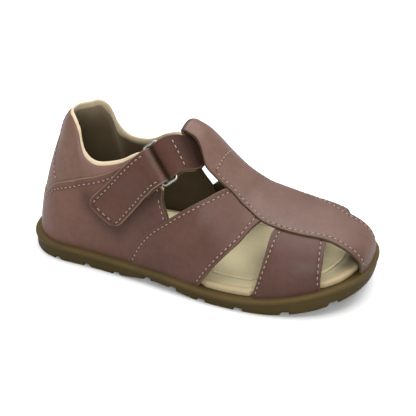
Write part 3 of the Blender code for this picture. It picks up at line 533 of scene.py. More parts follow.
def form(chart):
    """Points of the foot form: superellipse sections on the plan outline, straight down past the hem."""
    foot, cx, cy, far, girth = reach(chart)
    share = np.clip(girth / GIRTH, 0.0, 1.0)
    edge_x = foot + cx * far
    power = 2.0 / hermite(SQUARE_X, SQUARE_N, edge_x)
    out = np.sin(share * math.pi / 2.0) ** power
    up = np.clip(np.cos(share * math.pi / 2.0), 0.0, 1.0) ** power
    x = foot + cx * far * out
    y = spine(foot) + cy * far * out
    z = seat(edge_x) + (crest(x) - seat(edge_x)) * up - np.maximum(girth - GIRTH, 0.0)
    return np.stack([x, y, z], -1)


def form_normal(chart):
    """Outward unit normals of the form by central differences on the chart."""
    ahead = np.array([CHART_STEP, 0.0])
    side = np.array([0.0, CHART_STEP])
    normal = np.cross(form(chart + ahead) - form(chart - ahead), form(chart + side) - form(chart - side))
    return normal / np.maximum(np.linalg.norm(normal, axis=-1, keepdims=True), TINY)


def lay(chart, lift):
    """Chart places laid on the form and lifted along its normal."""
    chart = np.asarray(chart, float)
    return form(chart) + form_normal(chart) * np.asarray(lift, float)[..., None]


def arc_length(points):
    """Distance along a line of points, from 0."""
    return np.concatenate([[0.0], np.cumsum(np.linalg.norm(np.diff(points, axis=0), axis=1))])


def table_curve(stations, rows, at):
    """Smooth plane curve through table rows at given stations, straight on at both ends."""
    first = (rows[1] - rows[0]) / (stations[1] - stations[0])
    last = (rows[-1] - rows[-2]) / (stations[-1] - stations[-2])
    return np.stack([hermite(stations, rows[:, k], at, (first[k], last[k])) for k in (0, 1)], -1)


def curve(rows):
    """Smooth open curve through table rows, about one point every CURVE_PITCH."""
    rows = np.asarray(rows, float)
    run = arc_length(rows)
    return table_curve(run, rows, np.linspace(0.0, run[-1], max(3, int(round(run[-1] / CURVE_PITCH)) + 1)))


def at_run(points, run, distance):
    """Places at given distances along a line of points, whose own distances are run."""
    return np.stack([np.interp(distance, run, points[:, k]) for k in range(points.shape[1])], -1)


def along_line(points, share):
    """Places at a share of the length of a line, for any array of shares."""
    run = arc_length(points)
    return at_run(points, run, share * run[-1])


def spread(width, pitch=PITCH):
    """Distances across a width: close lines at either edge, even lines in between."""
    width = np.asarray(width, float)[..., None]
    near = np.array(EDGE_LINES)
    count = max(2, int(np.ceil((width.max() - 2.0 * near[-1]) / pitch)) + 1)
    middle = near[-1] + (width - 2.0 * near[-1]) * np.linspace(0.0, 1.0, count)
    lead = np.broadcast_to(near[:-1], width.shape[:-1] + (len(near) - 1,))
    return np.concatenate([lead, middle, (width - lead)[..., ::-1]], axis=-1)


def edge_drop(gap):
    """Fall of a cut edge: a quarter circle within EDGE_ROUND of the edge."""
    near = EDGE_ROUND - np.clip(gap, 0.0, EDGE_ROUND)
    return EDGE_ROUND - np.sqrt(np.maximum(EDGE_ROUND ** 2 - near ** 2, 0.0))


def seam_mark(gap, inset=STITCH_IN):
    """1 on a stitch line at the given distance from an edge, fading to 0 beside it."""
    return np.exp(-((gap - inset) / TROUGH_HALF) ** 2)


def edge_mark(gap):
    """Dark burnish along a cut edge, fading inwards."""
    return BURNISH * np.exp(-(gap / BURNISH_RUN) ** 2)


def line_distance(chart, start, end):
    """Chart distance of places to a straight line between two of them."""
    start, run = np.asarray(start), np.subtract(end, start)
    share = np.clip(((chart - start) @ run) / (run @ run), 0.0, 1.0)
    return np.linalg.norm(chart - start - share[..., None] * run, axis=-1)


def crease_lift(chart):
    """Sum of the listed creases: a bell across each line, fading towards its ends."""
    lift = np.zeros(chart.shape[:-1])
    for x, y, turn, long_half, wide_half, height in CREASES:
        c, s = math.cos(math.radians(turn)), math.sin(math.radians(turn))
        dx, dy = chart[..., 0] - x, chart[..., 1] - y
        along, across = dx * c + dy * s, dy * c - dx * s
        lift += height * np.exp(-(across / wide_half) ** 2 - (along / long_half) ** 4)
    return lift


def plan_ring(sides, bends):
    """Plan rays from the centre line to the feather line, in equal steps along the sides and round the ends.

    One side and the toe are worked out on the chart, and the rest is the same turned half round.
    """
    along = np.linspace(HEEL_FOCUS, TOE_FOCUS, sides, endpoint=False)
    turn = np.linspace(0.0, math.pi, bends, endpoint=False)
    x = np.concatenate([along, TOE_FOCUS + GIRTH * np.sin(turn)])
    y = GIRTH * np.concatenate([np.ones(sides), np.cos(turn)])
    chart = np.concatenate([np.stack([x, y], -1), np.stack([HEEL_FOCUS + TOE_FOCUS - x, -y], -1)])
    foot, cx, cy, far, _ = reach(chart)
    return foot, cx, cy, far


def plan_side(x, grow, side):
    """Plan points of one side of the sole at stations x, grown outwards from the feather line."""
    turn = np.linspace(0.0, math.pi / 2.0, PLAN_STATIONS)
    toe = np.stack([TOE_FOCUS + GIRTH * np.cos(turn), side * GIRTH * np.sin(turn)], -1)
    mid = np.linspace(TOE_FOCUS, HEEL_FOCUS, PLAN_STATIONS)[1:-1]
    middle = np.stack([mid, np.full_like(mid, side * GIRTH)], -1)
    heel = np.stack([HEEL_FOCUS - GIRTH * np.cos(turn[::-1]), side * GIRTH * np.sin(turn[::-1])], -1)
    foot, cx, cy, far, _ = reach(np.concatenate([toe, middle, heel])[::-1])
    px = foot + cx * (far + grow)
    py = spine(foot) + cy * (far + grow)
    share = np.clip((px - px[0]) / (px[-1] - px[0]), 0.0, 1.0)
    return np.stack([np.interp(x / LENGTH, share, px), np.interp(x / LENGTH, share, py)], -1)


def plan_centre():
    """Middle of the sole's plan box on the floor: the row frame's origin."""
    x = np.linspace(0.0, LENGTH, PLAN_STATIONS)
    low = plan_side(x, LEDGE, -1.0)[:, 1].min()
    high = plan_side(x, LEDGE, 1.0)[:, 1].max()
    return np.array([LENGTH / 2.0, (low + high) / 2.0, 0.0])


CENTRE = plan_centre()


def grid_faces(rows, cols, wrap_rows=False, wrap_cols=False):
    """Quads of a grid of points, closed round either way if asked."""
    i = np.arange(rows if wrap_rows else rows - 1)[:, None]
    j = np.arange(cols if wrap_cols else cols - 1)[None, :]
    a, b = (i + 1) % rows, (j + 1) % cols
    quads = np.stack([i * cols + j, a * cols + j, a * cols + b, i * cols + b], -1)
    return quads.reshape(-1, 4)


def make_piece(name, points, faces, material, node, marks=None, uv=None, weld=False):
    """Smooth mesh object from millimetre points, riding on the sandal in place of a CAD node.

    marks gives named values per point for the material; uv gives a place on the thread per point; weld joins
    points that meet, where a grid closes on itself.
    """
    mesh = bpy.data.meshes.new(name)
    place = (np.asarray(points, float) - CENTRE) * MM
    mesh.from_pydata(place.tolist(), [], np.asarray(faces).tolist())
    for key, values in (marks or {}).items():
        mark = mesh.attributes.new(key, "FLOAT", "POINT")
        mark.data.foreach_set("value", np.ravel(values).astype(np.float32))
    if uv is not None:
        corner = np.empty(len(mesh.loops), np.int32)
        mesh.loops.foreach_get("vertex_index", corner)
        layer = mesh.uv_layers.new(name="thread")
        layer.data.foreach_set("uv", np.ravel(uv[corner]).astype(np.float32))
    if weld:
        work = bmesh.new()
        work.from_mesh(mesh)
        bmesh.ops.remove_doubles(work, verts=work.verts, dist=WELD)
        bmesh.ops.recalc_face_normals(work, faces=work.faces)
        work.to_mesh(mesh)
        work.free()
    mesh.polygons.foreach_set("use_smooth", np.ones(len(mesh.polygons), bool))
    mesh.materials.append(material)
    mesh.update()
    piece = bpy.data.objects.new(name, mesh)
    bpy.context.scene.collection.objects.link(piece)
    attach(piece, "root")
    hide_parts(*([node] if isinstance(node, str) else node))
    return piece


def sheet(name, face, back, material, node, seam=None, shade=None, raw=0.0):
    """Closed sheet of leather: face and back grids joined round the edge by two more rings.

    The mark called layer is 0 on the face, 0.5 on the cut edge and 1 on the back; lit is 1 where the cut edge
    faces up, for the cut edge's painted light, and at least raw elsewhere; seam and shade are given for the
    face.
    """
    rows, cols = face.shape[:2]
    size = rows * cols
    index = np.arange(size).reshape(rows, cols)
    rim = np.concatenate([index[0, :-1], index[:-1, -1], index[-1, :0:-1], index[:0:-1, 0]])
    top, low = face.reshape(-1, 3), back.reshape(-1, 3)
    rings = [top[rim] * (1.0 - t) + low[rim] * t for t in EDGE_RINGS]
    points = np.concatenate([top, low] + rings)
    loops = [rim, 2 * size + np.arange(len(rim)), 2 * size + len(rim) + np.arange(len(rim)), rim + size]
    quads = grid_faces(rows, cols)
    sides = [np.stack([a, np.roll(a, -1), np.roll(b, -1), b], -1) for a, b in zip(loops, loops[1:])]
    faces = np.concatenate([quads, quads[:, ::-1] + size] + sides)
    normal = np.cross(face[1:, :-1] - face[:-1, :-1], face[:-1, 1:] - face[:-1, :-1])
    if (normal * (face - back)[:-1, :-1]).sum() < 0.0:
        faces = faces[:, ::-1]
    near, up = np.zeros((2, rows, cols))
    steps = (face[0] - face[1], face[-1] - face[-2], face[:, 0] - face[:, 1], face[:, -1] - face[:, -2])
    for k in reversed(range(len(EDGE_TINT))):
        for line, step in zip((np.s_[k], np.s_[-1 - k], np.s_[:, k], np.s_[:, -1 - k]), steps):
            near[line] = np.maximum(near[line], EDGE_TINT[k])
            up[line] = step[:, 2] / np.maximum(np.linalg.norm(step, axis=-1), TINY)
    up = np.maximum(smooth(*EDGE_LIT, up), raw).ravel()
    layer = np.concatenate([near.ravel(), np.ones(size), np.full(2 * len(rim), EDGE_TINT[0])])
    lit = np.concatenate([up, up, up[rim], up[rim]])
    worn = np.zeros((2, len(points)))
    for row, mark in zip(worn, (seam, shade)):
        if mark is not None:
            row[:size] = np.ravel(mark)
    marks = {"layer": layer, "lit": lit, "seam": worn[0], "shade": worn[1]}
    return make_piece(name, points, faces, material, node, marks)


def grid_normal(grid):
    """Unit normals of a grid of points, from its own differences."""
    normal = np.cross(np.gradient(grid, axis=0), np.gradient(grid, axis=1))
    return normal / np.maximum(np.linalg.norm(normal, axis=-1, keepdims=True), TINY)


def sample(grid, row, col):
    """Values of a grid at fractional row and column places, by two-way linear mixing."""
    row = np.clip(row, 0.0, grid.shape[0] - LAST_PLACE)
    col = np.clip(col, 0.0, grid.shape[1] - LAST_PLACE)
    i, j = row.astype(int), col.astype(int)
    s, t = (row - i)[:, None], (col - j)[:, None]
    near = grid[i, j] * (1.0 - t) + grid[i, j + 1] * t
    far = grid[i + 1, j] * (1.0 - t) + grid[i + 1, j + 1] * t
    return near * (1.0 - s) + far * s


THREAD_ROWS = []
HOLE_ROWS = []


def stitch_row(points, normals):
    """Row of stitches along a line on the leather: each a short thread that dips in at both ends.

    Stitch k is centred on k + 1/2 pitches and STITCH_SHOWN pitches long; its round section is carried along
    the line and its height is a half sine. A needle hole lies between every two stitches.
    """
    run = arc_length(points)
    count = max(1, int(run[-1] / STITCH_PITCH))
    pitch = run[-1] / count
    share = np.linspace(-0.5, 0.5, STITCH_STATIONS)
    at = (np.arange(count)[:, None] + 0.5 + STITCH_SHOWN * share) * pitch
    mid = at_run(points, run, at)
    up = at_run(normals, run, at)
    up /= np.linalg.norm(up, axis=-1, keepdims=True)
    ahead = mid[:, -1:] - mid[:, :1]
    side = np.cross(up, ahead)
    side /= np.linalg.norm(side, axis=-1, keepdims=True)
    arch = np.cos(math.pi * share)
    high = THREAD * (STITCH_ARCH * arch - STITCH_SUNK)
    size = THREAD * (STITCH_TIP[0] + STITCH_TIP[1] * np.sqrt(np.maximum(arch, 0.0)))
    spin = np.linspace(0.0, 2.0 * math.pi, STITCH_SIDES, endpoint=False)
    ring = np.cos(spin)[:, None] * side[:, :, None, :] + np.sin(spin)[:, None] * up[:, :, None, :]
    THREAD_ROWS.append((mid + up * high[:, None])[:, :, None, :] + ring * size[:, None, None])

    hole = np.linspace(0.0, run[-1], count + 1)
    middle = at_run(points, run, hole)
    rise = at_run(normals, run, hole)
    end = np.append(np.arange(count), count - 1)
    rim = np.cos(spin)[:, None] * side[end] + np.sin(spin)[:, None] * np.cross(rise, side[end, 0])[:, None]
    HOLE_ROWS.append(np.concatenate([(middle + rise * HOLE_RISE)[:, None], middle[:, None] + rim * HOLE,
                                     (middle - rise * HOLE_RISE)[:, None]], axis=1))


def stitch_chart(chart, lift):
    """Stitches along a chart line lying on the form at a given lift."""
    stitch_row(lay(chart, np.broadcast_to(lift, chart.shape[:-1])), form_normal(chart))


def stitch_band(face, normals, row, col):
    """Stitches along fractional row and column places of a band, either of which may be one number."""
    row, col = np.broadcast_arrays(row, col)
    stitch_row(sample(face, row, col), sample(normals, row, col))


def build_thread(material):
    """All stitches as one joined mesh: rings along each stitch with a flat cap at either end."""
    tubes = np.concatenate(THREAD_ROWS)
    count = len(tubes)
    body = grid_faces(STITCH_STATIONS, STITCH_SIDES, wrap_cols=True)
    last = (STITCH_STATIONS - 1) * STITCH_SIDES
    half = STITCH_SIDES // 2
    start = np.array([[3, 2, 1, 0], [5, 4, 3, 0]])
    one = np.concatenate([body[:, ::-1], start, last + start[:, ::-1]])
    faces = (one[None] + (np.arange(count) * STITCH_STATIONS * STITCH_SIDES)[:, None, None]).reshape(-1, 4)
    u, v = np.meshgrid(np.linspace(0.0, 1.0, STITCH_STATIONS), np.arange(STITCH_SIDES) / half, indexing="ij")
    uv = np.tile(np.stack([u, v], -1).reshape(-1, 2), (count, 1))
    return make_piece("seam_thread", tubes.reshape(-1, 3), faces, material, "upper", uv=uv)


def build_holes(material):
    """All needle holes as one joined mesh: a low six-sided pillow between every two stitches."""
    holes = np.concatenate(HOLE_ROWS)
    here = np.arange(STITCH_SIDES)
    there = (here + 1) % STITCH_SIDES
    top = np.stack([np.zeros_like(here), here + 1, there + 1], -1)
    low = np.stack([np.full_like(here, STITCH_SIDES + 1), there + 1, here + 1], -1)
    one = np.concatenate([top, low])
    faces = (one[None] + (np.arange(len(holes)) * holes.shape[1])[:, None, None]).reshape(-1, 3)
    return make_piece("needle_holes", holes.reshape(-1, 3), faces, material, "upper")


def bar_half(x):
    """Half width of the T-bar along chart X."""
    edge = curve(np.stack([BAR_X, BAR_HALF], -1))
    return np.interp(x, edge[:, 0], edge[:, 1])


def bar_lift(x):
    """Lift of the T-bar's outer face along chart X: the tongue's own rise, then level."""
    return np.where(x < TONGUE_X[-1], hermite(TONGUE_X, TONGUE_OUTER, x), LEVEL_BAR)


def toe_pull(x, y, girth):
    """How far the bar's toe end is drawn back at chart Y, so that it ends on a circle of that girth."""
    return smooth(BAR_PULL_FROM, TOE_FOCUS + GIRTH, x) * (girth - np.sqrt(girth ** 2 - y ** 2))


def build_t_bar(material):
    """T-bar in one length with its folded tongue: leg under the tab, turn at the rear, bar down to the toe.

    Each line across is given its chart X, the lift of both faces and its half width.
    """
    wall = BAND_WALL / 2.0
    leg_x = np.linspace(LOOP_LEG_X[-1], LOOP_LEG_X[0], LOOP_LEG_LINES)
    leg_lift = np.interp(leg_x, LOOP_LEG_X, LOOP_LEG_LIFT)
    turn = np.linspace(1.5 * math.pi, 0.5 * math.pi, LOOP_TURN_LINES)[1:-1]
    top_x = LOOP_X + spread(np.array(TOE_FOCUS + GIRTH + TUCK - LOOP_X))[len(EDGE_LINES) - 1:]
    top_back = np.where(top_x < TONGUE_X[-1], hermite(TONGUE_X, TONGUE_INNER, top_x), TONGUE_INNER[-1])
    centre = np.concatenate([leg_x, np.full_like(turn, LOOP_X), top_x])
    half = np.concatenate([np.interp(leg_x, LOOP_LEG_X, LOOP_LEG_HALF), np.full_like(turn, BAR_HALF[0]),
                           bar_half(top_x)])
    face_x = np.concatenate([leg_x, LOOP_X + (LOOP_RADIUS + wall) * np.cos(turn), top_x])
    back_x = np.concatenate([leg_x, LOOP_X + (LOOP_RADIUS - wall) * np.cos(turn), top_x])
    face_lift = np.concatenate([leg_lift - wall, LOOP_MID + (LOOP_RADIUS + wall) * np.sin(turn),
                                bar_lift(top_x)])
    back_lift = np.concatenate([leg_lift + wall, LOOP_MID + (LOOP_RADIUS - wall) * np.sin(turn), top_back])

    across = spread(2.0 * half)
    y = across - half[:, None]
    pull = toe_pull(centre[:, None], y, GIRTH + TUCK)
    face_chart = np.stack([face_x[:, None] - pull, y], -1)
    back_chart = np.stack([back_x[:, None] - pull, y], -1)
    gap = np.minimum(across, 2.0 * half[:, None] - across)
    bar = smooth(TONGUE_X[-2], TONGUE_X[-1], face_x)[:, None]
    sewn = smooth(*BAR_SEAM_X, face_x) * (np.arange(len(face_x)) > len(leg_x))
    seam = seam_mark(gap) * sewn[:, None]
    lift = face_lift[:, None] - edge_drop(gap) * np.sign(face_lift - back_lift)[:, None]
    lift = lift - TROUGH_DEPTH * seam + crease_lift(face_chart) * bar
    belly = smooth(0.0, BELLY_RAMP[0], BAR_BELLY - np.abs(y)) * bar
    belly = belly * smooth(0.0, BELLY_RAMP[1], TOE_FOCUS + GIRTH - BELLY_END - face_x)[:, None]
    under = back_lift[:, None] - BELLY_DEPTH * belly
    worn = np.maximum(seam, edge_mark(gap))
    # Painted shade on the tongue's leg and turn, and on the bar towards the toe
    turned = (np.arange(len(face_x)) < len(leg_x) + len(turn) - 2)[:, None]
    shade = np.where(turned, TURN_SHADE, BAR_SHADE * smooth(*BAR_SHADE_X, face_chart[..., 0]))
    sheet("t_bar", lay(face_chart, lift), lay(back_chart, under), material, ["upper", "bar_loop"],
          worn, shade)

    for side in (-1.0, 1.0):
        x = np.linspace(TONGUE_X[-2] + BAR_ROW_ROOM[0], TOE_FOCUS + GIRTH - BAR_ROW_ROOM[1], BAR_ROW_POINTS)
        inset = (bar_half(x) - STITCH_IN) * side
        row = np.stack([x - toe_pull(x, inset, GIRTH), inset], -1)
        stitch_chart(row, bar_lift(x) - TROUGH_DEPTH)
    y = np.linspace(-1.0, 1.0, CROSS_ROW_POINTS) * (bar_half(BAR_CROSS_ROW) - STITCH_IN - BAR_CROSS_ROOM)
    stitch_chart(np.stack([np.full_like(y, BAR_CROSS_ROW), y], -1), bar_lift(BAR_CROSS_ROW))


def by_side(side, outer, inner):
    """Outer values where side is negative, inner values elsewhere."""
    return np.where(np.asarray(side) < 0.0, outer, inner)


def front_edge(girth, side):
    """Chart X of the quarter's front edge at a girth, for either side of the foot."""
    outer, inner = curve(QUARTER_FRONT), curve(QUARTER_FRONT_INNER)
    return by_side(side, np.interp(girth, outer[:, 1], outer[:, 0]),
                   np.interp(girth, inner[:, 1], inner[:, 0]))


def build_strap(name, rear, front, level, side, material):
    """One strap from under the T-bar to the sole: two edge lines, straight across, cut off at the hem."""
    rear_line = curve([(x, y * side) for y, x in rear])
    front_line = curve([(x, y * side) for y, x in front])

    def chart_at(u, v):
        """Chart place at share u along both edges and share v from the rear edge to the front one."""
        return along_line(rear_line, u) * (1.0 - v[..., None]) + along_line(front_line, u) * v[..., None]

    u0, v0 = np.meshgrid(*(np.linspace(0.0, 1.0, count) for count in STRAP_GRID), indexing="ij")
    girth = reach(chart_at(u0, v0))[4]
    low = np.s_[STRAP_HEM_ROW:]
    stop = np.array([np.interp(GIRTH + TUCK, girth[low, k], u0[low, k]) for k in range(STRAP_GRID[1])])
    length = arc_length(rear_line)[-1] * stop[0]
    along = spread(np.array(length)) / length
    level_with = along * stop.mean()
    wide = np.linalg.norm(along_line(rear_line, level_with) - along_line(front_line, level_with), axis=-1)
    across = spread(wide)
    v = across / wide[:, None]
    chart = chart_at(along[:, None] * np.interp(v, v0[0], stop), v)

    gap = np.minimum(across, wide[:, None] - across)
    under_bar = smooth(*STRAP_UNDER_BAR, bar_half(chart[..., 0]) - np.abs(chart[..., 1]))
    seam = seam_mark(gap) * (1.0 - under_bar)
    lift = level - edge_drop(gap) - TROUGH_DEPTH * seam + crease_lift(chart) - UNDER_BAR * under_bar
    over_quarter = smooth(*STRAP_OVER_QUARTER, front_edge(np.abs(chart[..., 1]), side) - chart[..., 0])
    back = STRAP_BACK + (LEVEL_COUNTER + STRAP_GAP + crease_lift(chart) - STRAP_BACK) * over_quarter
    back = np.minimum(back, lift - STRAP_LEAST)
    worn = np.maximum(seam, edge_mark(gap))
    sheet(name, lay(chart, lift), lay(chart, back), material, "upper", worn)

    for edge in (0.0, 1.0):
        s = np.linspace(STRAP_ROW_FROM, 1.0, STRAP_GRID[0])
        w = np.interp(s, along, wide)
        v_line = np.abs(edge - STITCH_IN / w)
        line = chart_at(s * np.interp(v_line, v0[0], stop), v_line)
        clear = np.abs(line[:, 1]) - bar_half(line[:, 0]) > STRAP_ROW_ROOM[0]
        line = line[clear & (reach(line)[4] < GIRTH - STRAP_ROW_ROOM[1])]
        stitch_chart(line, level + crease_lift(line) - TROUGH_DEPTH)


def heel_chart(p, girth):
    """Chart place at hem distance p from the heel back (outer side negative) and a girth."""
    a = np.abs(p)
    turn = np.minimum(a / GIRTH, math.pi / 2.0)
    x = HEEL_FOCUS - girth * np.cos(turn) + np.maximum(a - GIRTH * math.pi / 2.0, 0.0)
    return np.stack([x, np.where(p < 0.0, -1.0, 1.0) * girth * np.sin(turn)], -1)


def heel_place(line):
    """Hem distance from the heel back and girth of a one-sided chart line, by rising distance."""
    back = np.maximum(HEEL_FOCUS - line[:, 0], 0.0)
    girth = np.hypot(back, line[:, 1])
    a = GIRTH * np.arctan2(line[:, 1], back) + np.maximum(line[:, 0] - HEEL_FOCUS, 0.0)
    order = np.argsort(a)
    return a[order], girth[order]


def joined(*tables):
    """One chart line through several tables, each starting where the last one ends, with a corner there."""
    return np.concatenate([curve(table)[:-1] for table in tables] + [np.array(tables[-1][-1:])])


RIM_OUTER = heel_place(joined(QUARTER_TOP, COLLAR))
RIM_INNER = heel_place(joined(QUARTER_TOP_INNER, COLLAR_INNER))
COUNTER_TOP_OUTER = heel_place(joined(QUARTER_TOP, COUNTER, COUNTER_HEEL))
COUNTER_TOP_INNER = heel_place(joined(QUARTER_TOP_INNER, COUNTER_INNER, COUNTER_HEEL))
FRONT_ENDS = (RIM_OUTER[0][-1], RIM_INNER[0][-1])
COLLAR_ENDS = (heel_place(curve(COLLAR))[0][-1], heel_place(curve(COLLAR_INNER))[0][-1])


def rim_girth(p):
    """Girth of the collar's rim at hem distance p."""
    return by_side(p, np.interp(np.abs(p), *RIM_OUTER), np.interp(np.abs(p), *RIM_INNER))


def counter_girth(p):
    """Girth of the counter panel's upper edge at hem distance p."""
    return by_side(p, np.interp(np.abs(p), *COUNTER_TOP_OUTER), np.interp(np.abs(p), *COUNTER_TOP_INNER))


def quarter_chart(p, girth):
    """Chart place on the quarter, swept forward near its front edge."""
    chart = heel_chart(p, girth)
    sweep = front_edge(girth, p) - by_side(p, QUARTER_FRONT[0][0], QUARTER_FRONT_INNER[0][0])
    front = by_side(p, *FRONT_ENDS)
    chart[..., 0] += sweep * smooth(0.0, 1.0, (np.abs(p) - front + FRONT_FADE) / FRONT_FADE)
    return chart


def quarter_stations(outer_end, inner_end, line_girth):
    """Stations round the heel from one end to the other, even in a mix of rim length and hem length."""
    p = np.linspace(-outer_end, inner_end, SWEEP_STATIONS)
    mixed = RIM_SHARE * arc_length(heel_chart(p, line_girth(p))) + (1.0 - RIM_SHARE) * (p + outer_end)
    return np.interp(spread(np.array(mixed[-1])), mixed, p)


def pad_swell(depth):
    """Padding of the collar: a half sine below the rim."""
    return np.sin(math.pi * np.clip(depth / PAD_DEPTH, 0.0, 1.0))


def stay_gap(p, girth):
    """Hem distance to the stitched edge of the heel stay, positive behind it."""
    return np.interp(girth, STAY_GIRTH, STAY_REACH) - np.abs(p)


def build_counter(material):
    """Lower quarter and counter panel, from one front edge round the heel to the other."""
    p = quarter_stations(*FRONT_ENDS, counter_girth)
    top = counter_girth(p)
    wide = GIRTH + TUCK - top
    down = spread(wide)
    girth = top[:, None] + down
    chart = quarter_chart(p[:, None], girth)
    ends = (by_side(p, *FRONT_ENDS) - np.abs(p))[:, None]
    gap = np.minimum(down, ends)
    seam = np.maximum(seam_mark(down), seam_mark(ends))
    lift = LEVEL_COUNTER - edge_drop(gap) - TROUGH_DEPTH * seam + crease_lift(chart)
    back = np.full_like(lift, INNER_COUNTER)
    worn = np.maximum(seam, edge_mark(gap))
    shade = QUARTER_SHADE * smooth(*QUARTER_SHADE_X, chart[..., 0])
    shadow = np.minimum(line_distance(chart, RING_STRAP_BAR[1], STRAP_END[1]),
                        line_distance(chart, *STRAP_END))
    shade = shade + (1.0 - shade) * STRAP_SHADOW * np.exp(-(shadow / STRAP_SHADOW_RUN) ** 2)
    sheet("counter_panel", lay(chart, lift), lay(chart, back), material, "upper", worn, shade)

    inside = np.linspace(-FRONT_ENDS[0] + STITCH_IN, FRONT_ENDS[1] - STITCH_IN, COUNTER_ROW_POINTS)
    line = quarter_chart(inside, counter_girth(inside) + STITCH_IN)
    stitch_chart(line, LEVEL_COUNTER - TROUGH_DEPTH)
    for row in (STITCH_IN - FRONT_ENDS[0], FRONT_ENDS[1] - STITCH_IN):
        g = np.linspace(counter_girth(row) + 2.0 * STITCH_IN, FRONT_ROW_END, FRONT_ROW_POINTS)
        stitch_chart(quarter_chart(row, g), LEVEL_COUNTER - TROUGH_DEPTH)


def build_collar(material):
    """Padded collar panel between the rolled rim and the counter panel, with the heel stay's seams."""
    p = quarter_stations(COLLAR_ENDS[0] - COLLAR_SHORT, COLLAR_ENDS[1] - COLLAR_SHORT, rim_girth)
    top = rim_girth(p) + COLLAR_GAP
    wide = np.maximum(counter_girth(p) - top, COLLAR_LEAST) + COLLAR_UNDERLAP
    down = spread(wide)
    girth = top[:, None] + down
    chart = quarter_chart(p[:, None], girth)
    hidden = smooth(*COLLAR_TUCK, girth - counter_girth(p)[:, None])
    stay = stay_gap(p[:, None], girth)
    seam = seam_mark(stay, STAY_ROW) * (1.0 - hidden)
    lift = LEVEL_COLLAR + PAD_OUT * pad_swell(down + COLLAR_GAP) * (1.0 - hidden) - COLLAR_SINK * hidden
    lift = lift - RIM_FALL * smooth(RIM_FALL_RUN, 0.0, down)
    lift = lift + STAY_WALL * smooth(*STAY_RAMP, stay) * (1.0 - hidden) - TROUGH_DEPTH * seam
    back = np.minimum(INNER_COLLAR, lift - COLLAR_LEAST)
    collar = sheet("padded_collar", lay(chart, lift), lay(chart, back), material, "upper", seam)

    for side in (-1.0, 1.0):
        g = np.linspace(STAY_GIRTH[0], STAY_GIRTH[-1] - STAY_ROW_ROOM[1], STAY_ROW_POINTS)
        p_row = side * (np.interp(g, STAY_GIRTH, STAY_REACH) - STAY_ROW)
        depth = g - rim_girth(p_row)
        keep = (depth > STAY_ROW_ROOM[0]) & (g < counter_girth(p_row) - STAY_ROW_ROOM[1])
        rise = LEVEL_COLLAR + PAD_OUT * pad_swell(depth) + STAY_WALL - TROUGH_DEPTH
        stitch_chart(heel_chart(p_row[keep], g[keep]), rise[keep])


def rim_lean(p):
    """How much longer a step down the girth is than a step square to the rim: 1 where the rim runs level.

    It is one over the sine of the angle between the rim and the girth line on the form, evened out along
    the rim.
    """
    rim = rim_girth(p)
    along = np.gradient(form(quarter_chart(p, rim)), axis=0)
    down = form(quarter_chart(p, rim + CHART_STEP)) - form(quarter_chart(p, rim - CHART_STEP))
    square = np.linalg.norm(np.cross(along, down), axis=-1)
    lean = np.linalg.norm(along, axis=-1) * np.linalg.norm(down, axis=-1) / np.maximum(square, TINY)
    even = np.ones(LEAN_EVEN) / LEAN_EVEN
    return np.convolve(np.pad(np.minimum(lean, LEAN_MOST), LEAN_EVEN // 2, mode="edge"), even, mode="valid")


def build_lining(material):
    """Lining inside the quarter, rolled over the rim: the roll's profile, then down to the insole.

    The profile is stretched down the girth by the rim's lean, so that the roll is as wide all round.
    """
    p = quarter_stations(*FRONT_ENDS, rim_girth)
    roll = np.array(LINING_ROLL)
    rim = rim_girth(p)[:, None]
    lean = rim_lean(p)[:, None]
    rolled = roll[:, 0] * lean
    deep = GIRTH - LINING_HEM - rim - rolled[:, -1:]
    share = np.linspace(0.0, 1.0, LINING_LINES)[1:]
    depth = np.concatenate([rolled, rolled[:, -1:] + deep * share], axis=1)
    inside = INNER_LINING - PAD_IN * pad_swell(depth[:, len(roll):] / lean)
    lift = np.concatenate([np.broadcast_to(roll[:, 1], (len(p), len(roll))), inside], axis=1)
    chart = quarter_chart(p[:, None], np.maximum(rim + depth, 1.0))
    front = np.clip(by_side(p, *FRONT_ENDS) - np.abs(p), 0.0, 1.0)[:, None]
    face = lay(chart, lift)
    normal = grid_normal(face)
    normal *= np.sign((normal[:, -1] * -form_normal(chart)[:, -1]).sum())
    back = face - normal * LINING_WALL * (LINING_FRONT[0] + LINING_FRONT[1] * front)[..., None]
    square = depth / lean
    # Painted light on the lining behind, fading down from the rim, together with the pale roll
    behind = smooth(*PAINTED_LIGHT_REACH, np.abs(p))[:, None]
    end = ROLL_END - by_side(p[:, None], 0.0, ROLL_NARROW * (1.0 - behind))
    pale_roll_and_painted_light = np.maximum(smooth(ROLL_RAMP, 0.0, square - end),
                      LINING_PAINTED_LIGHT * behind * smooth(ROLL_FADE, 0.0, square))
    sheet("quarter_lining", face, back, material, "upper", pale_roll_and_painted_light)


def ring_frame():
    """Centre, long axis, short axis and normal of the ring, from its corners on the form."""
    rear = lay(RING_STRAP_BAR, np.full(2, RING_LIFT))
    fore = lay(RING_TAB_BAR, np.full(2, RING_LIFT))
    centre = (rear.sum(axis=0) + fore.sum(axis=0)) / 4.0
    along = (rear[1] - rear[0]) + (fore[1] - fore[0])
    along /= np.linalg.norm(along)
    across = fore.sum(axis=0) - rear.sum(axis=0)
    across -= along * (across @ along)
    across /= np.linalg.norm(across)
    return centre, along, across, np.cross(along, across)


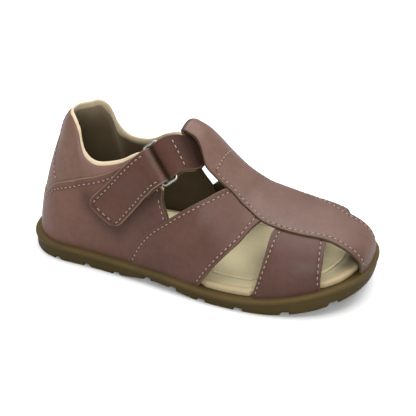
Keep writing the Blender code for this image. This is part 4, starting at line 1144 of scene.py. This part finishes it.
def build_ring(material):
    """Wire ring: a round section carried along a rectangle with rounded corners."""
    centre, along, across, normal = ring_frame()
    corner = np.array([(1.0, 1.0), (-1.0, 1.0), (-1.0, -1.0), (1.0, -1.0)])
    turn = (np.linspace(0.0, 1.0, RING_BEND_POINTS) + np.arange(4)[:, None]) * math.pi / 2.0
    middle = corner * (np.array([RING_LONG, RING_SHORT]) / 2.0 - RING_CORNER)
    path = (middle[:, None] + RING_CORNER * np.stack([np.cos(turn), np.sin(turn)], -1)).reshape(-1, 2)
    ahead = np.roll(path, -1, axis=0) - np.roll(path, 1, axis=0)
    ahead /= np.linalg.norm(ahead, axis=1, keepdims=True)
    out = np.stack([ahead[:, 1], -ahead[:, 0]], -1)
    spin = np.linspace(0.0, 2.0 * math.pi, RING_SIDES, endpoint=False)
    flat = path[:, None] + WIRE * np.cos(spin)[None, :, None] * out[:, None]
    high = np.broadcast_to(WIRE * np.sin(spin), flat.shape[:2])
    points = centre + flat[..., :1] * along + flat[..., 1:] * across + high[..., None] * normal
    faces = grid_faces(*flat.shape[:2], wrap_rows=True, wrap_cols=True)
    make_piece("ring_wire", points.reshape(-1, 3), faces, material, "ring")


def build_band(name, middle, gap, seam, material, node, shade=None, raw=0.0):
    """Strip of leather: a grid of middle points thickened along its own normals, edges rounded."""
    normal = grid_normal(middle)
    half = BAND_WALL / 2.0
    face = middle + normal * (half - edge_drop(gap) - TROUGH_DEPTH * seam)[..., None]
    worn = np.maximum(seam, edge_mark(gap))
    sheet(name, face, middle - normal * half, material, node, worn, shade, raw)
    return face, normal


def wrap(centre, along, start, out, v):
    """Half turn of leather round a bar, from start over out to the far side."""
    turn = np.linspace(0.0, math.pi, WRAP_LINES)[:, None, None]
    line = centre + v[None, :, None] * STRAP_HALF * along
    return line + WRAP_RADIUS * (np.cos(turn) * start) + WRAP_REACH * np.sin(turn) * out


def band_across():
    """Places across a band from -1 to 1, close together at its edges."""
    return spread(np.array(2.0 * STRAP_HALF)) / STRAP_HALF - 1.0


def seam_columns(side_gap):
    """Fractional columns of the two long stitch rows of a band."""
    half = len(side_gap) // 2
    low = np.interp(STITCH_IN, side_gap[:half], np.arange(half))
    return low, len(side_gap) - 1 - low


def ease_to_ring(laid, d, v, bar, along, away, up, ease):
    """Leg of a band: flat beside the ring's bar, eased onto its place on the form within a distance."""
    flat = bar + up * WRAP_RADIUS + v[None, :, None] * STRAP_HALF * along
    flat = flat + d[:, None, None] * away
    near = 1.0 - smooth(0.0, ease, d)[:, None, None]
    return laid * (1.0 - near) + flat * near


def build_closure_strap(material):
    """Strap fastened on the outer quarter: free end on top, round the ring, sewn leg beneath."""
    centre, along, across, normal = ring_frame()
    bar = centre - across * RING_SHORT / 2.0
    v = band_across()

    def leg(d, lift, up, ease):
        """Leg of the strap at distances d from the ring, its corners rounded off at the free end."""
        edge_a, edge_b = (np.outer(1.0 - d / STRAP_REACH, start) + np.outer(d / STRAP_REACH, end)
                          for start, end in zip(RING_STRAP_BAR, STRAP_END))
        left = np.clip(STRAP_CORNER - (STRAP_REACH - d), 0.0, STRAP_CORNER)
        trim = (STRAP_CORNER - np.sqrt(np.maximum(STRAP_CORNER ** 2 - left ** 2, 0.0))) / STRAP_HALF
        share = 0.5 + 0.5 * v[None, :] * (1.0 - STRAP_TRIM * trim[:, None])
        chart = edge_a[:, None, :] * (1.0 - share[..., None]) + edge_b[:, None, :] * share[..., None]
        laid = lay(chart, np.broadcast_to(lift[:, None], share.shape))
        return ease_to_ring(laid, d, v, bar, along, -across, up, ease)

    far = STRAP_REACH - spread(np.array(2.0 * STRAP_REACH))
    far = far[far >= NEAR_RING]
    top = leg(far, hermite(STRAP_TOP_D, STRAP_TOP_LIFT, far), normal, STRAP_TOP_EASE)
    turn = wrap(bar, along, normal, across, v)
    back = np.linspace(NEAR_RING, STRAP_RETURN, STRAP_LOW_LINES)
    low = leg(back, np.full_like(back, STRAP_LOW_LIFT), -normal, STRAP_LOW_EASE)
    middle = np.concatenate([top, turn, low])[:, ::-1]
    side_gap = (1.0 - np.abs(v[::-1])) * STRAP_HALF
    end_gap = np.concatenate([STRAP_REACH - far, np.full(len(turn), STRAP_REACH), STRAP_RETURN - back])
    gap = np.minimum(side_gap[None, :], end_gap[:, None])
    reach_in = np.concatenate([smooth(0.0, 1.0, far), np.zeros(len(turn) + len(back))])[:, None]
    seam = np.maximum(seam_mark(side_gap)[None, :] * reach_in, seam_mark(end_gap)[:, None] * reach_in)
    seam = seam * (gap > SEAM_ROOM)
    face, normals = build_band("strap_leather", middle, gap, seam, material, "closure_strap",
                               raw=STRAP_RAW)

    low_col, far_col = seam_columns(side_gap)
    ends = (STITCH_IN + STRAP_ROW_ENDS[0], STRAP_REACH - STRAP_ROW_ENDS[1])
    start, stop = np.interp(ends, STRAP_REACH - far, np.arange(len(far)))
    for col in (low_col, far_col):
        stitch_band(face, normals, np.linspace(start, stop, CLOSURE_ROW_POINTS), col)
    end_col = np.linspace(low_col + STRAP_END_COLUMNS, far_col - STRAP_END_COLUMNS, CROSS_ROW_POINTS)
    stitch_band(face, normals, start, end_col)


def build_ring_tab(material):
    """Tab from the inner quarter, under the tongue, folded round the ring's upper bar."""
    centre, along, across, normal = ring_frame()
    bar = centre + across * RING_SHORT / 2.0
    v = band_across()

    def leg(d, drop, up):
        """Leg of the tab at distances d from the ring: straight across between its two edge curves."""
        share = d / TAB_REACH
        mix = (0.5 + 0.5 * v)[None, :, None]
        rear_line, front_line = (table_curve(TAB_SHARE, np.array(rows), share)[:, None, :]
                                 for rows in (TAB_REAR, TAB_FRONT))
        chart = rear_line * (1.0 - mix) + front_line * mix
        rear = np.interp(share, TAB_LIFT_SHARE, TAB_LIFT_REAR)[:, None]
        front = np.interp(share, TAB_LIFT_SHARE, TAB_LIFT_FRONT)[:, None]
        laid = lay(chart, rear + (front - rear) * mix[..., 0] - drop)
        return ease_to_ring(laid, d, v, bar, along, across, up, TAB_RETURN)

    below = np.linspace(TAB_RETURN, NEAR_RING, TAB_LOW_LINES)
    low = leg(below, TAB_LOW_DROP, -normal)
    turn = wrap(bar, along, normal, -across, v)[::-1]
    above = TAB_REACH - spread(np.array(2.0 * TAB_REACH))
    above = above[above >= NEAR_RING][::-1]
    top = leg(above, 0.0, normal)
    middle = np.concatenate([low, turn, top])[:, ::-1]
    side_gap = (1.0 - np.abs(v[::-1])) * STRAP_HALF
    end_gap = np.concatenate([TAB_RETURN - below, np.full(len(turn), TAB_REACH), TAB_REACH - above])
    gap = np.minimum(side_gap[None, :], end_gap[:, None])
    first = len(below) + len(turn)
    on_top = np.concatenate([np.zeros(first), smooth(*TAB_SEAM_FROM, above)])[:, None]
    from_fold = np.concatenate([np.zeros(first), above])[:, None]
    rows_across = np.maximum(seam_mark(from_fold, TAB_CROSS_ROW), seam_mark(end_gap[:, None]))
    sewn = smooth(TAB_SEWN + 1.0, TAB_SEWN, end_gap)[:, None]
    seam = np.maximum(seam_mark(side_gap)[None, :] * sewn, rows_across) * on_top * (gap > SEAM_ROOM)
    shade = TAB_SHADE * smooth(*TAB_SHADE_FROM, from_fold) * (1.0 - smooth(*TAB_SHADE_TO, from_fold))
    shade = np.broadcast_to(shade, gap.shape)
    face, normals = build_band("tab_leather", middle, gap, seam, material, "ring_tab", shade)

    low_col, far_col = seam_columns(side_gap)
    at = (TAB_CROSS_ROW, TAB_REACH - TAB_SEWN, TAB_REACH - STITCH_IN, TAB_REACH - STITCH_IN - TAB_ROW_ROOM)
    *rows_over, last = first + np.interp(at, above, np.arange(len(above)))
    for col in (low_col, far_col):
        stitch_band(face, normals, np.linspace(rows_over[1], last, TAB_ROW_POINTS), col)
    for row in rows_over:
        stitch_band(face, normals, row, np.linspace(low_col, far_col, CROSS_ROW_POINTS))


def groove_stations():
    """Stations along the sole, closer at both ends and with the groove walls put in, and the groove lift."""
    turn = np.linspace(0.0, math.pi, SOLE_STATIONS)
    base = LENGTH / 2.0 * (1.0 - np.cos(turn))
    lift = np.zeros_like(base)
    wall = np.array(GROOVE_WALL)
    rise = GROOVE_DEPTH * np.array(GROOVE_RISE)
    for centre in GROOVE_X:
        keep = np.abs(base - centre) > GROOVE_HALF + GROOVE_CLEAR
        walls = np.concatenate([centre - GROOVE_HALF + wall * GROOVE_SLOPE / 2.0, [centre],
                                centre + GROOVE_HALF + wall * GROOVE_SLOPE / 2.0])
        base = np.concatenate([base[keep], walls])
        lift = np.concatenate([lift[keep], rise, [GROOVE_DEPTH], rise[::-1]])
    order = np.argsort(base)
    return base[order], lift[order]


def build_outsole(material):
    """Rubber unit: sections across the sole, each running under it, up the wall, over the top and down.

    Raised diamonds under the sole are where the product of two crossed sine waves is positive.
    """
    x, groove = groove_stations()
    rows = [(out, True, high) for out, high in WALL_FROM_FLOOR]
    rows += [(out, False, high) for out, high in WALL_FROM_SEAT]
    walls = {}
    for side in (-1.0, 1.0):
        columns = []
        for outward, floor, height in rows:
            plan = plan_side(x, outward, side)
            z = seat(plan[:, 0]) + height
            if floor:
                z = walking_face(plan[:, 0]) + np.maximum(height, groove * (1.0 + GROOVE_LEAN * height))
            columns.append(np.column_stack([plan, z]))
        walls[side] = np.stack(columns, 1)
    # Painted highlight along the bead's crest
    bead = np.array([0.0 if floor else math.exp(-((height - BEAD_TOP) / BEAD_RUN) ** 2)
                     for _, floor, height in rows])

    share = spread(np.array(UNDER_WIDTH), UNDER_PITCH)[None, :, None] / UNDER_WIDTH
    under = walls[1.0][:, :1] * (1.0 - share) + walls[-1.0][:, :1] * share
    half = np.linalg.norm(walls[1.0][:, 0, :2] - walls[-1.0][:, 0, :2], axis=-1)[:, None] / 2.0
    inset = np.minimum(share[..., 0], 1.0 - share[..., 0]) * 2.0 * half
    ends = np.minimum(x, LENGTH - x)[:, None]
    border = smooth(DIAMOND_MARGIN - DIAMOND_FADE, DIAMOND_MARGIN + DIAMOND_FADE, np.minimum(inset, ends))
    wave = np.sin(math.pi * (under[..., 0] + under[..., 1]) / DIAMOND)
    wave = wave * np.sin(math.pi * (under[..., 0] - under[..., 1]) / DIAMOND)
    sunk = smooth(-DIAMOND_RAMP, DIAMOND_RAMP, -wave) * border * (groove < TINY)[:, None]
    under[..., 2] += DIAMOND_DEPTH * sunk
    over_share = np.linspace(0.0, 1.0, LEDGE_COLUMNS)[None, :, None]
    over = walls[-1.0][:, -1:] * (1.0 - over_share) + walls[1.0][:, -1:] * over_share

    section = np.concatenate([under, walls[-1.0][:, 1:], over[:, 1:], walls[1.0][:, -2:0:-1]], axis=1)
    # Painted highlight: none underneath, on the bead, and weaker on the ledge
    light = np.concatenate([np.zeros(under.shape[1]), bead[1:], np.full(over.shape[1] - 1, LEDGE_PAINTED_HIGHLIGHT),
                            bead[-2:0:-1]])
    faces = grid_faces(*section.shape[:2], wrap_cols=True)
    marks = {"layer": np.broadcast_to(light, section.shape[:2])}
    make_piece("rubber_sole", section.reshape(-1, 3), faces, material, "outsole", marks, weld=True)


def build_insole(material):
    """Footbed: rays from the centre line outwards over the top, down its edge and back underneath."""
    foot, cx, cy, far = plan_ring(*RIM_RAYS)
    edge = np.array(INSOLE_EDGE)
    inset = np.array(INSOLE_LINES)
    hem = foot - HEEL_FOCUS + GIRTH * np.arctan2(cx, np.abs(cy))
    far = far + by_side(cy, np.interp(hem, RIM_OUTER_AT, RIM_OUT), np.interp(hem, RIM_INNER_AT, RIM_OUT))
    rim = far + edge[-1, 0]
    inner = (rim - inset[-1])[:, None] * np.linspace(0.0, 1.0, BED_LINES)[None, :-1]
    radius = np.concatenate([inner, rim[:, None] - inset[::-1], far[:, None] + edge[::-1, 0]], axis=1)
    top_count = inner.shape[1] + len(inset)
    gap = rim[:, None] - radius
    line = np.exp(-((gap - BORDER_AT) / BORDER_HALF) ** 2)
    rise = np.concatenate([np.full(top_count, edge[-1, 1]), edge[::-1, 1]])
    from_seat = np.abs(foot - CUP_X[0])[:, None] / CUP_X[1]
    cup = -FOOTBED_CUP * smooth(*CUP_RAMP, gap) * smooth(1.0, 0.0, from_seat)
    x = foot[:, None] + cx[:, None] * radius
    y = spine(foot)[:, None] + cy[:, None] * radius
    z = seat(x) + rise + cup - BORDER_DEPTH * line * (np.arange(radius.shape[1]) < top_count)
    points = np.stack([x, y, z], -1)
    below = np.stack([foot, spine(foot), seat(foot) + edge[0, 1]], -1)[:, None]
    points = np.concatenate([points, below], axis=1)
    faces = grid_faces(*points.shape[:2], wrap_rows=True)
    side = np.concatenate([np.zeros(top_count), np.ones(len(edge) + 1)])
    # Painted shade along the footbed's edge, where most light falls, stronger at the toe
    at_toe = smooth(*BED_EDGE_PAINTED_SHADE_X, points[..., 0])
    most, run = (pair[0] + (pair[1] - pair[0]) * at_toe for pair in (BED_EDGE_PAINTED_SHADE, BED_EDGE_PAINTED_SHADE_RUN))
    worn = most * smooth(run, BED_EDGE_PAINTED_SHADE_FULL, np.concatenate([gap, np.zeros((len(foot), 1))], axis=1))
    # Painted light: a lighter patch on the inner half under the slot, where the inside is in shade
    painted_lightness = np.exp(-((points[..., 0] - BED_PAINTED_LIGHT_X[0]) / BED_PAINTED_LIGHT_X[1]) ** 2)
    painted_lightness = BED_PAINTED_LIGHT * painted_lightness * smooth(*BED_PAINTED_LIGHT_Y, points[..., 1])
    # Painted light at the toe: the footbed is darkened behind the toe gap, so the shaded toe reads lighter
    painted_toe_light = BED_PAINTED_TOE_LIGHT * smooth(*BED_PAINTED_TOE_LIGHT_X, points[..., 0])
    marks = {"layer": np.broadcast_to(side, points.shape[:2]),
             "seam": np.concatenate([line, np.zeros((len(foot), 1))], axis=1),
             "shade": (1.0 - painted_lightness) * (1.0 - (1.0 - painted_toe_light) * (1.0 - worn))}
    make_piece("footbed_board", points.reshape(-1, 3), faces, material, "insole", marks, weld=True)


def node_group(name, inputs, outputs):
    """Shader node group with named sockets: the group, what comes in and where its results go."""
    group = bpy.data.node_groups.new(name, "ShaderNodeTree")
    kinds = {"value": "NodeSocketFloat", "colour": "NodeSocketColor", "vector": "NodeSocketVector"}
    for socket, kind in inputs:
        group.interface.new_socket(socket, in_out="INPUT", socket_type=kinds[kind])
    for socket, kind in outputs:
        group.interface.new_socket(socket, in_out="OUTPUT", socket_type=kinds[kind])
    return group, group.nodes.new("NodeGroupInput").outputs, group.nodes.new("NodeGroupOutput").inputs


def add(tree, kind, settings=None, **inputs):
    """Node with its settings and inputs given by name; an input is a value or another node's output."""
    node = tree.nodes.new(kind)
    for key, value in (settings or {}).items():
        setattr(node, key, value)
    for key, value in inputs.items():
        name = key.replace("_", " ")
        socket = node.inputs[int(key[1:])] if key[0] == "n" and key[1:].isdigit() else node.inputs[name]
        if isinstance(value, bpy.types.NodeSocket):
            tree.links.new(value, socket)
        else:
            socket.default_value = value
    return node


def maths(tree, operation, a, b, c=0.0, clamp=False):
    """Result of a Math node."""
    settings = {"operation": operation, "use_clamp": clamp}
    return add(tree, "ShaderNodeMath", settings, n0=a, n1=b, n2=c).outputs[0]


def noise(tree, place, scale, detail):
    """Cloudy noise at a place."""
    return add(tree, "ShaderNodeTexNoise", None, Vector=place, Scale=scale, Detail=detail).outputs["Fac"]


def swing(tree, value, start, end, low=0.3, high=0.7, kind="LINEAR"):
    """Value spread from the range low to high onto the range start to end."""
    node = add(tree, "ShaderNodeMapRange", {"interpolation_type": kind}, Value=value, From_Min=low,
               From_Max=high, To_Min=start, To_Max=end)
    return node.outputs[0]


def relief(tree, shader, height, strength, depth=RELIEF):
    """Fine relief of a height, as bump."""
    bump = add(tree, "ShaderNodeBump", None, Strength=strength, Distance=depth, Height=height)
    tree.links.new(bump.outputs["Normal"], shader.inputs["Normal"])


def plain(shader, **values):
    """Values that are the same all over, set on the shader itself."""
    for key, value in values.items():
        shader.inputs[key.replace("_", " ")].default_value = value


def mix_colour(tree, share, a, b, blend="MIX"):
    """Result of a colour Mix node."""
    node = add(tree, "ShaderNodeMix", {"data_type": "RGBA", "blend_type": blend}, n0=share, n6=a, n7=b)
    return node.outputs[2]


def leather_grain():
    """Group: fine pebbled grain and slow colour drift of a smooth leather."""
    group, given, result = node_group("leather_grain", [("Vector", "vector"), ("Pebble", "value")],
                                      [("Height", "value"), ("Tone", "value"), ("Shine", "value")])
    place = given["Vector"]
    cells = add(group, "ShaderNodeTexVoronoi", {"feature": "SMOOTH_F1"}, Vector=place, Scale=given["Pebble"],
                Smoothness=0.5).outputs["Distance"]
    slow = noise(group, place, 55.0, 3.0)
    height = maths(group, "MULTIPLY_ADD", noise(group, place, 2600.0, 2.0), 0.35, cells)
    tone = maths(group, "MULTIPLY_ADD", noise(group, place, 420.0, 2.0), 0.35,
                 maths(group, "MULTIPLY", slow, 0.65))
    for name, value in (("Height", height), ("Tone", tone), ("Shine", slow)):
        group.links.new(value, result[name])
    return group


def sheet_tone():
    """Group: colour of a leather sheet from face, cut edge (painted lit or shaded) and back, with seam dirt
    and painted shade.
    """
    group, given, result = node_group("sheet_tone",
                                      [("Face", "colour"), ("Back", "colour"), ("Layer", "value"),
                                       ("Lit", "value"), ("Seam", "value"), ("Shade", "value"),
                                       ("Tone", "value")],
                                      [("Color", "colour"), ("Backing", "value")])
    light = maths(group, "MULTIPLY", swing(group, given["Tone"], 0.80, 1.18),
                  maths(group, "SUBTRACT", 1.0, given["Shade"]))
    face = mix_colour(group, 1.0, given["Face"], light, "MULTIPLY")
    dirt = maths(group, "MULTIPLY", given["Seam"], 0.55, clamp=True)
    face = mix_colour(group, dirt, face, scaled(SEAM_DIRT, 1.0))
    edge_share = swing(group, given["Layer"], 0.0, 1.0, 0.15, 0.4, "SMOOTHSTEP")
    back_share = swing(group, given["Layer"], 0.0, 1.0, 0.6, 0.9, "SMOOTHSTEP")
    edge = mix_colour(group, given["Lit"], scaled(EDGE_DARK_PAINTED_SHADE, 1.0), scaled(EDGE_PALE_PAINTED_LIT, 1.0))
    colour = mix_colour(group, edge_share, face, edge)
    group.links.new(mix_colour(group, back_share, colour, given["Back"]), result["Color"])
    group.links.new(back_share, result["Backing"])
    return group


def cloth_nap():
    """Group: short matt nap of a lining, as height and tone."""
    group, given, result = node_group("cloth_nap", [("Vector", "vector")],
                                      [("Height", "value"), ("Tone", "value")])
    fine = noise(group, given["Vector"], 1500.0, 3.0)
    slow = maths(group, "MULTIPLY", noise(group, given["Vector"], 70.0, 2.0), 0.6)
    group.links.new(fine, result["Height"])
    group.links.new(maths(group, "MULTIPLY_ADD", fine, 0.4, slow), result["Tone"])
    return group


def new_material(name):
    """Empty Principled material: its tree, shader and Object coordinates."""
    material = bpy.data.materials.new(name)
    material.use_nodes = True
    tree = material.node_tree
    place = tree.nodes.new("ShaderNodeTexCoord").outputs["Object"]
    return material, tree, tree.nodes["Principled BSDF"], place


def use_group(tree, group, **inputs):
    """Group node placed in a material."""
    return add(tree, "ShaderNodeGroup", {"node_tree": group}, **inputs)


def attribute(tree, name):
    """Value that a mesh carries per point."""
    return add(tree, "ShaderNodeAttribute", {"attribute_name": name}).outputs["Fac"]


def scaled(colour, share):
    """Colour with alpha, made darker or lighter."""
    return tuple(c * share for c in colour) + (1.0,)


def leather_material(name, groups, face, gloss=LEATHER_GLOSS):
    """Smooth dyed leather: face, raw edge and lining side of one sheet, with grain and seam dirt."""
    material, tree, shader, place = new_material(name)
    grain = use_group(tree, groups["grain"], Vector=place, Pebble=LEATHER_PEBBLE)
    # The back of each sheet takes the lining colour, darkened as painted shade
    tone = use_group(tree, groups["tone"], Face=scaled(face, 1.0), Back=scaled(LINING_DARKENED_AS_SHADE, 0.8),
                     Layer=attribute(tree, "layer"), Lit=attribute(tree, "lit"), Seam=attribute(tree, "seam"),
                     Shade=attribute(tree, "shade"), Tone=grain.outputs["Tone"])
    tree.links.new(tone.outputs["Color"], shader.inputs["Base Color"])
    rough = maths(tree, "MULTIPLY_ADD", tone.outputs["Backing"], 0.3,
                  swing(tree, grain.outputs["Shine"], *LEATHER_SHINE))
    tree.links.new(rough, shader.inputs["Roughness"])
    relief(tree, shader, grain.outputs["Height"], 0.22)
    plain(shader, Specular_IOR_Level=gloss)
    return material


def lining_material(groups):
    """Beige lining with a short nap, darkened as painted shade inside, with a pale roll and painted light
    behind.
    """
    material, tree, shader, place = new_material("quarter_lining")
    nap = use_group(tree, groups["nap"], Vector=place)
    colour = mix_colour(tree, attribute(tree, "seam"), scaled(LINING_DARKENED_AS_SHADE, 1.0), scaled(BEIGE_ROLL, 1.0))
    colour = mix_colour(tree, 1.0, colour, swing(tree, nap.outputs["Tone"], 0.85, 1.1), "MULTIPLY")
    tree.links.new(colour, shader.inputs["Base Color"])
    relief(tree, shader, nap.outputs["Height"], 0.35)
    plain(shader, Roughness=0.85, Specular_IOR_Level=0.25)
    return material


def footbed_material(groups):
    """Yellowish leather footbed with a pressed border line, a darker cut edge and painted light and shade."""
    material, tree, shader, place = new_material("footbed")
    grain = use_group(tree, groups["grain"], Vector=place, Pebble=BED_PEBBLE)
    # Grain tone times the painted light and shade of the shade mark
    painted_lightness = maths(tree, "MULTIPLY", swing(tree, grain.outputs["Tone"], 0.9, 1.07),
                  maths(tree, "SUBTRACT", 1.0, attribute(tree, "shade")))
    colour = mix_colour(tree, 1.0, scaled(BEIGE_BED, 1.0), painted_lightness, "MULTIPLY")
    side = maths(tree, "MULTIPLY", attribute(tree, "layer"), 0.8, clamp=True)
    colour = mix_colour(tree, side, colour, scaled(BED_EDGE, 1.0))
    line = maths(tree, "MULTIPLY", attribute(tree, "seam"), 0.6, clamp=True)
    tree.links.new(mix_colour(tree, line, colour, scaled(BORDER_DARK, 1.0)), shader.inputs["Base Color"])
    relief(tree, shader, grain.outputs["Height"], 0.2)
    plain(shader, Roughness=0.7, Specular_IOR_Level=0.15)
    return material


def rubber_material():
    """Gum rubber: olive brown, with a painted highlight on the bead, a little cloudy, fine moulding texture.
    """
    material, tree, shader, place = new_material("rubber")
    cloud = noise(tree, place, 45.0, 4.0)
    # The layer mark brings in the bead's painted highlight
    colour = mix_colour(tree, attribute(tree, "layer"), scaled(GUM, 1.0), scaled(GUM_PAINTED_HIGHLIGHT, 1.0))
    colour = mix_colour(tree, 1.0, colour, swing(tree, cloud, 0.85, 1.15), "MULTIPLY")
    tree.links.new(colour, shader.inputs["Base Color"])
    tree.links.new(swing(tree, cloud, 0.55, 0.70), shader.inputs["Roughness"])
    relief(tree, shader, noise(tree, place, 1800.0, 2.0), 0.12)
    plain(shader, Specular_IOR_Level=0.1)
    return material


def thread_material():
    """Pale sewing thread with the slant of its twist."""
    material, tree, shader, _ = new_material("seam_thread")
    place = add(tree, "ShaderNodeUVMap", {"uv_map": "thread"}).outputs["UV"]
    twist = add(tree, "ShaderNodeTexWave", {"bands_direction": "DIAGONAL"}, Vector=place, Scale=1.6,
                Distortion=0.4).outputs["Fac"]
    colour = mix_colour(tree, twist, scaled(THREAD_PINK, 0.8), scaled(THREAD_PINK, 1.05))
    tree.links.new(colour, shader.inputs["Base Color"])
    relief(tree, shader, twist, 0.5, THREAD_RELIEF)
    plain(shader, Roughness=0.6)
    return material


def hole_material():
    """Needle holes, dark as painted shade of the holes, uneven in tone."""
    material, tree, shader, place = new_material("needle_holes")
    colour = mix_colour(tree, noise(tree, place, 600.0, 1.0), scaled(HOLE_PAINTED_SHADE, 0.7), scaled(HOLE_PAINTED_SHADE, 1.6))
    tree.links.new(colour, shader.inputs["Base Color"])
    plain(shader, Roughness=0.9, Specular_IOR_Level=0.1)
    return material


def steel_material():
    """Plated steel wire with fine handling scratches."""
    material, tree, shader, place = new_material("steel")
    scratch = noise(tree, place, 900.0, 4.0)
    tree.links.new(swing(tree, scratch, 0.30, 0.46, 0.35, 0.65), shader.inputs["Roughness"])
    colour = mix_colour(tree, scratch, scaled(STEEL_GREY, 0.92), scaled(STEEL_GREY, 1.05))
    tree.links.new(colour, shader.inputs["Base Color"])
    plain(shader, Metallic=1.0)
    return material


def build_floor():
    """Plain pale floor under the sandal."""
    half = FLOOR_HALF
    mesh = bpy.data.meshes.new("studio_floor")
    corners = [(-half, -half, 0.0), (half, -half, 0.0), (half, half, 0.0), (-half, half, 0.0)]
    mesh.from_pydata(corners, [], [(0, 1, 2, 3)])
    material, _, shader, _ = new_material("studio_floor")
    plain(shader, Base_Color=scaled(FLOOR_WHITE, 1.0), Roughness=0.9, Specular_IOR_Level=0.1)
    mesh.materials.append(material)
    floor = bpy.data.objects.new("studio_floor", mesh)
    bpy.context.scene.collection.objects.link(floor)


def soft_sun(name, strength, spread_angle, tilt):
    """Wide soft light without end; tilt gives its turn from straight down about X and then about Z."""
    data = bpy.data.lights.new(name, "SUN")
    data.energy = strength
    data.angle = math.radians(spread_angle)
    light = bpy.data.objects.new(name, data)
    light.rotation_euler = (math.radians(tilt[0]), 0.0, math.radians(tilt[1]))
    bpy.context.scene.collection.objects.link(light)


def build_lights():
    """Weak even sky, one very wide light overhead and a weak one from the front."""
    world = bpy.data.worlds.new("studio")
    world.use_nodes = True
    plain(world.node_tree.nodes["Background"], Color=(1.0, 1.0, 1.0, 1.0), Strength=SKY)
    bpy.context.scene.world = world
    soft_sun("overhead", *OVERHEAD)
    soft_sun("front_fill", *FRONT_FILL)


def build_camera():
    """The photograph's camera: looks at the target from an azimuth and elevation, with the fitted lens."""
    a, e = math.radians(VIEW_AZIMUTH), math.radians(VIEW_ELEVATION)
    back = np.array([math.sin(a) * math.cos(e), -math.cos(a) * math.cos(e), math.sin(e)])
    right = np.array([math.cos(a), math.sin(a), 0.0])
    up = np.cross(back, right)
    eye = (np.array(VIEW_TARGET) + back * VIEW_DISTANCE - CENTRE) * MM
    data = bpy.data.cameras.new("photo_camera")
    data.sensor_width = SENSOR
    data.lens = FOCAL_PX / IMAGE_PX * SENSOR
    data.shift_x = (IMAGE_PX / 2.0 - CENTRE_PX[0]) / IMAGE_PX
    data.shift_y = (CENTRE_PX[1] - IMAGE_PX / 2.0) / IMAGE_PX
    data.clip_start = NEAR_CLIP
    camera = bpy.data.objects.new("photo_camera", data)
    matrix = Matrix.Identity(4)
    for k, axis in enumerate((right, up, back, eye)):
        for row in range(3):
            matrix[row][k] = axis[row]
    camera.matrix_world = matrix
    bpy.context.scene.collection.objects.link(camera)
    bpy.context.scene.camera = camera


def main():
    """Build every piece, the set and the camera."""
    groups = {"grain": leather_grain(), "tone": sheet_tone(), "nap": cloth_nap()}
    build_camera()
    build_outsole(rubber_material())
    build_insole(footbed_material(groups))
    build_lining(lining_material(groups))
    # Leather copies lightened or darkened piece by piece as painted light and shade
    build_collar(leather_material("collar_leather", groups, MAUVE_COLLAR_PAINTED_LIGHT))
    build_counter(leather_material("quarter_leather", groups, MAUVE))
    straps = leather_material("side_strap_leather", groups, MAUVE_STRAP_PAINTED_SHADE)
    front_straps = leather_material("front_strap_leather", groups, MAUVE_FRONT_PAINTED_SHADE)
    for side, word, one_rear, two_front in ((-1.0, "outer", STRAP_ONE_REAR, STRAP_TWO_FRONT),
                                            (1.0, "inner", STRAP_ONE_REAR_INNER, STRAP_TWO_FRONT_INNER)):
        build_strap(f"front_strap_{word}", STRAP_TWO_REAR, two_front, LEVEL_STRAP_TWO, side, front_straps)
        build_strap(f"middle_strap_{word}", one_rear, STRAP_ONE_FRONT, LEVEL_STRAP_ONE, side, straps)
    build_t_bar(leather_material("bar_leather", groups, MAUVE_BAR_PAINTED_SHEEN))
    build_ring(steel_material())
    build_closure_strap(leather_material("closure_leather", groups, MAUVE_CLOSURE_PAINTED_SHADE))
    build_ring_tab(leather_material("tab_leather", groups, MAUVE_TAB_PAINTED_SHADE, gloss=TAB_GLOSS))
    build_thread(thread_material())
    build_holes(hole_material())
    build_floor()
    build_lights()
    bpy.context.scene.view_settings.view_transform = "Standard"


main()
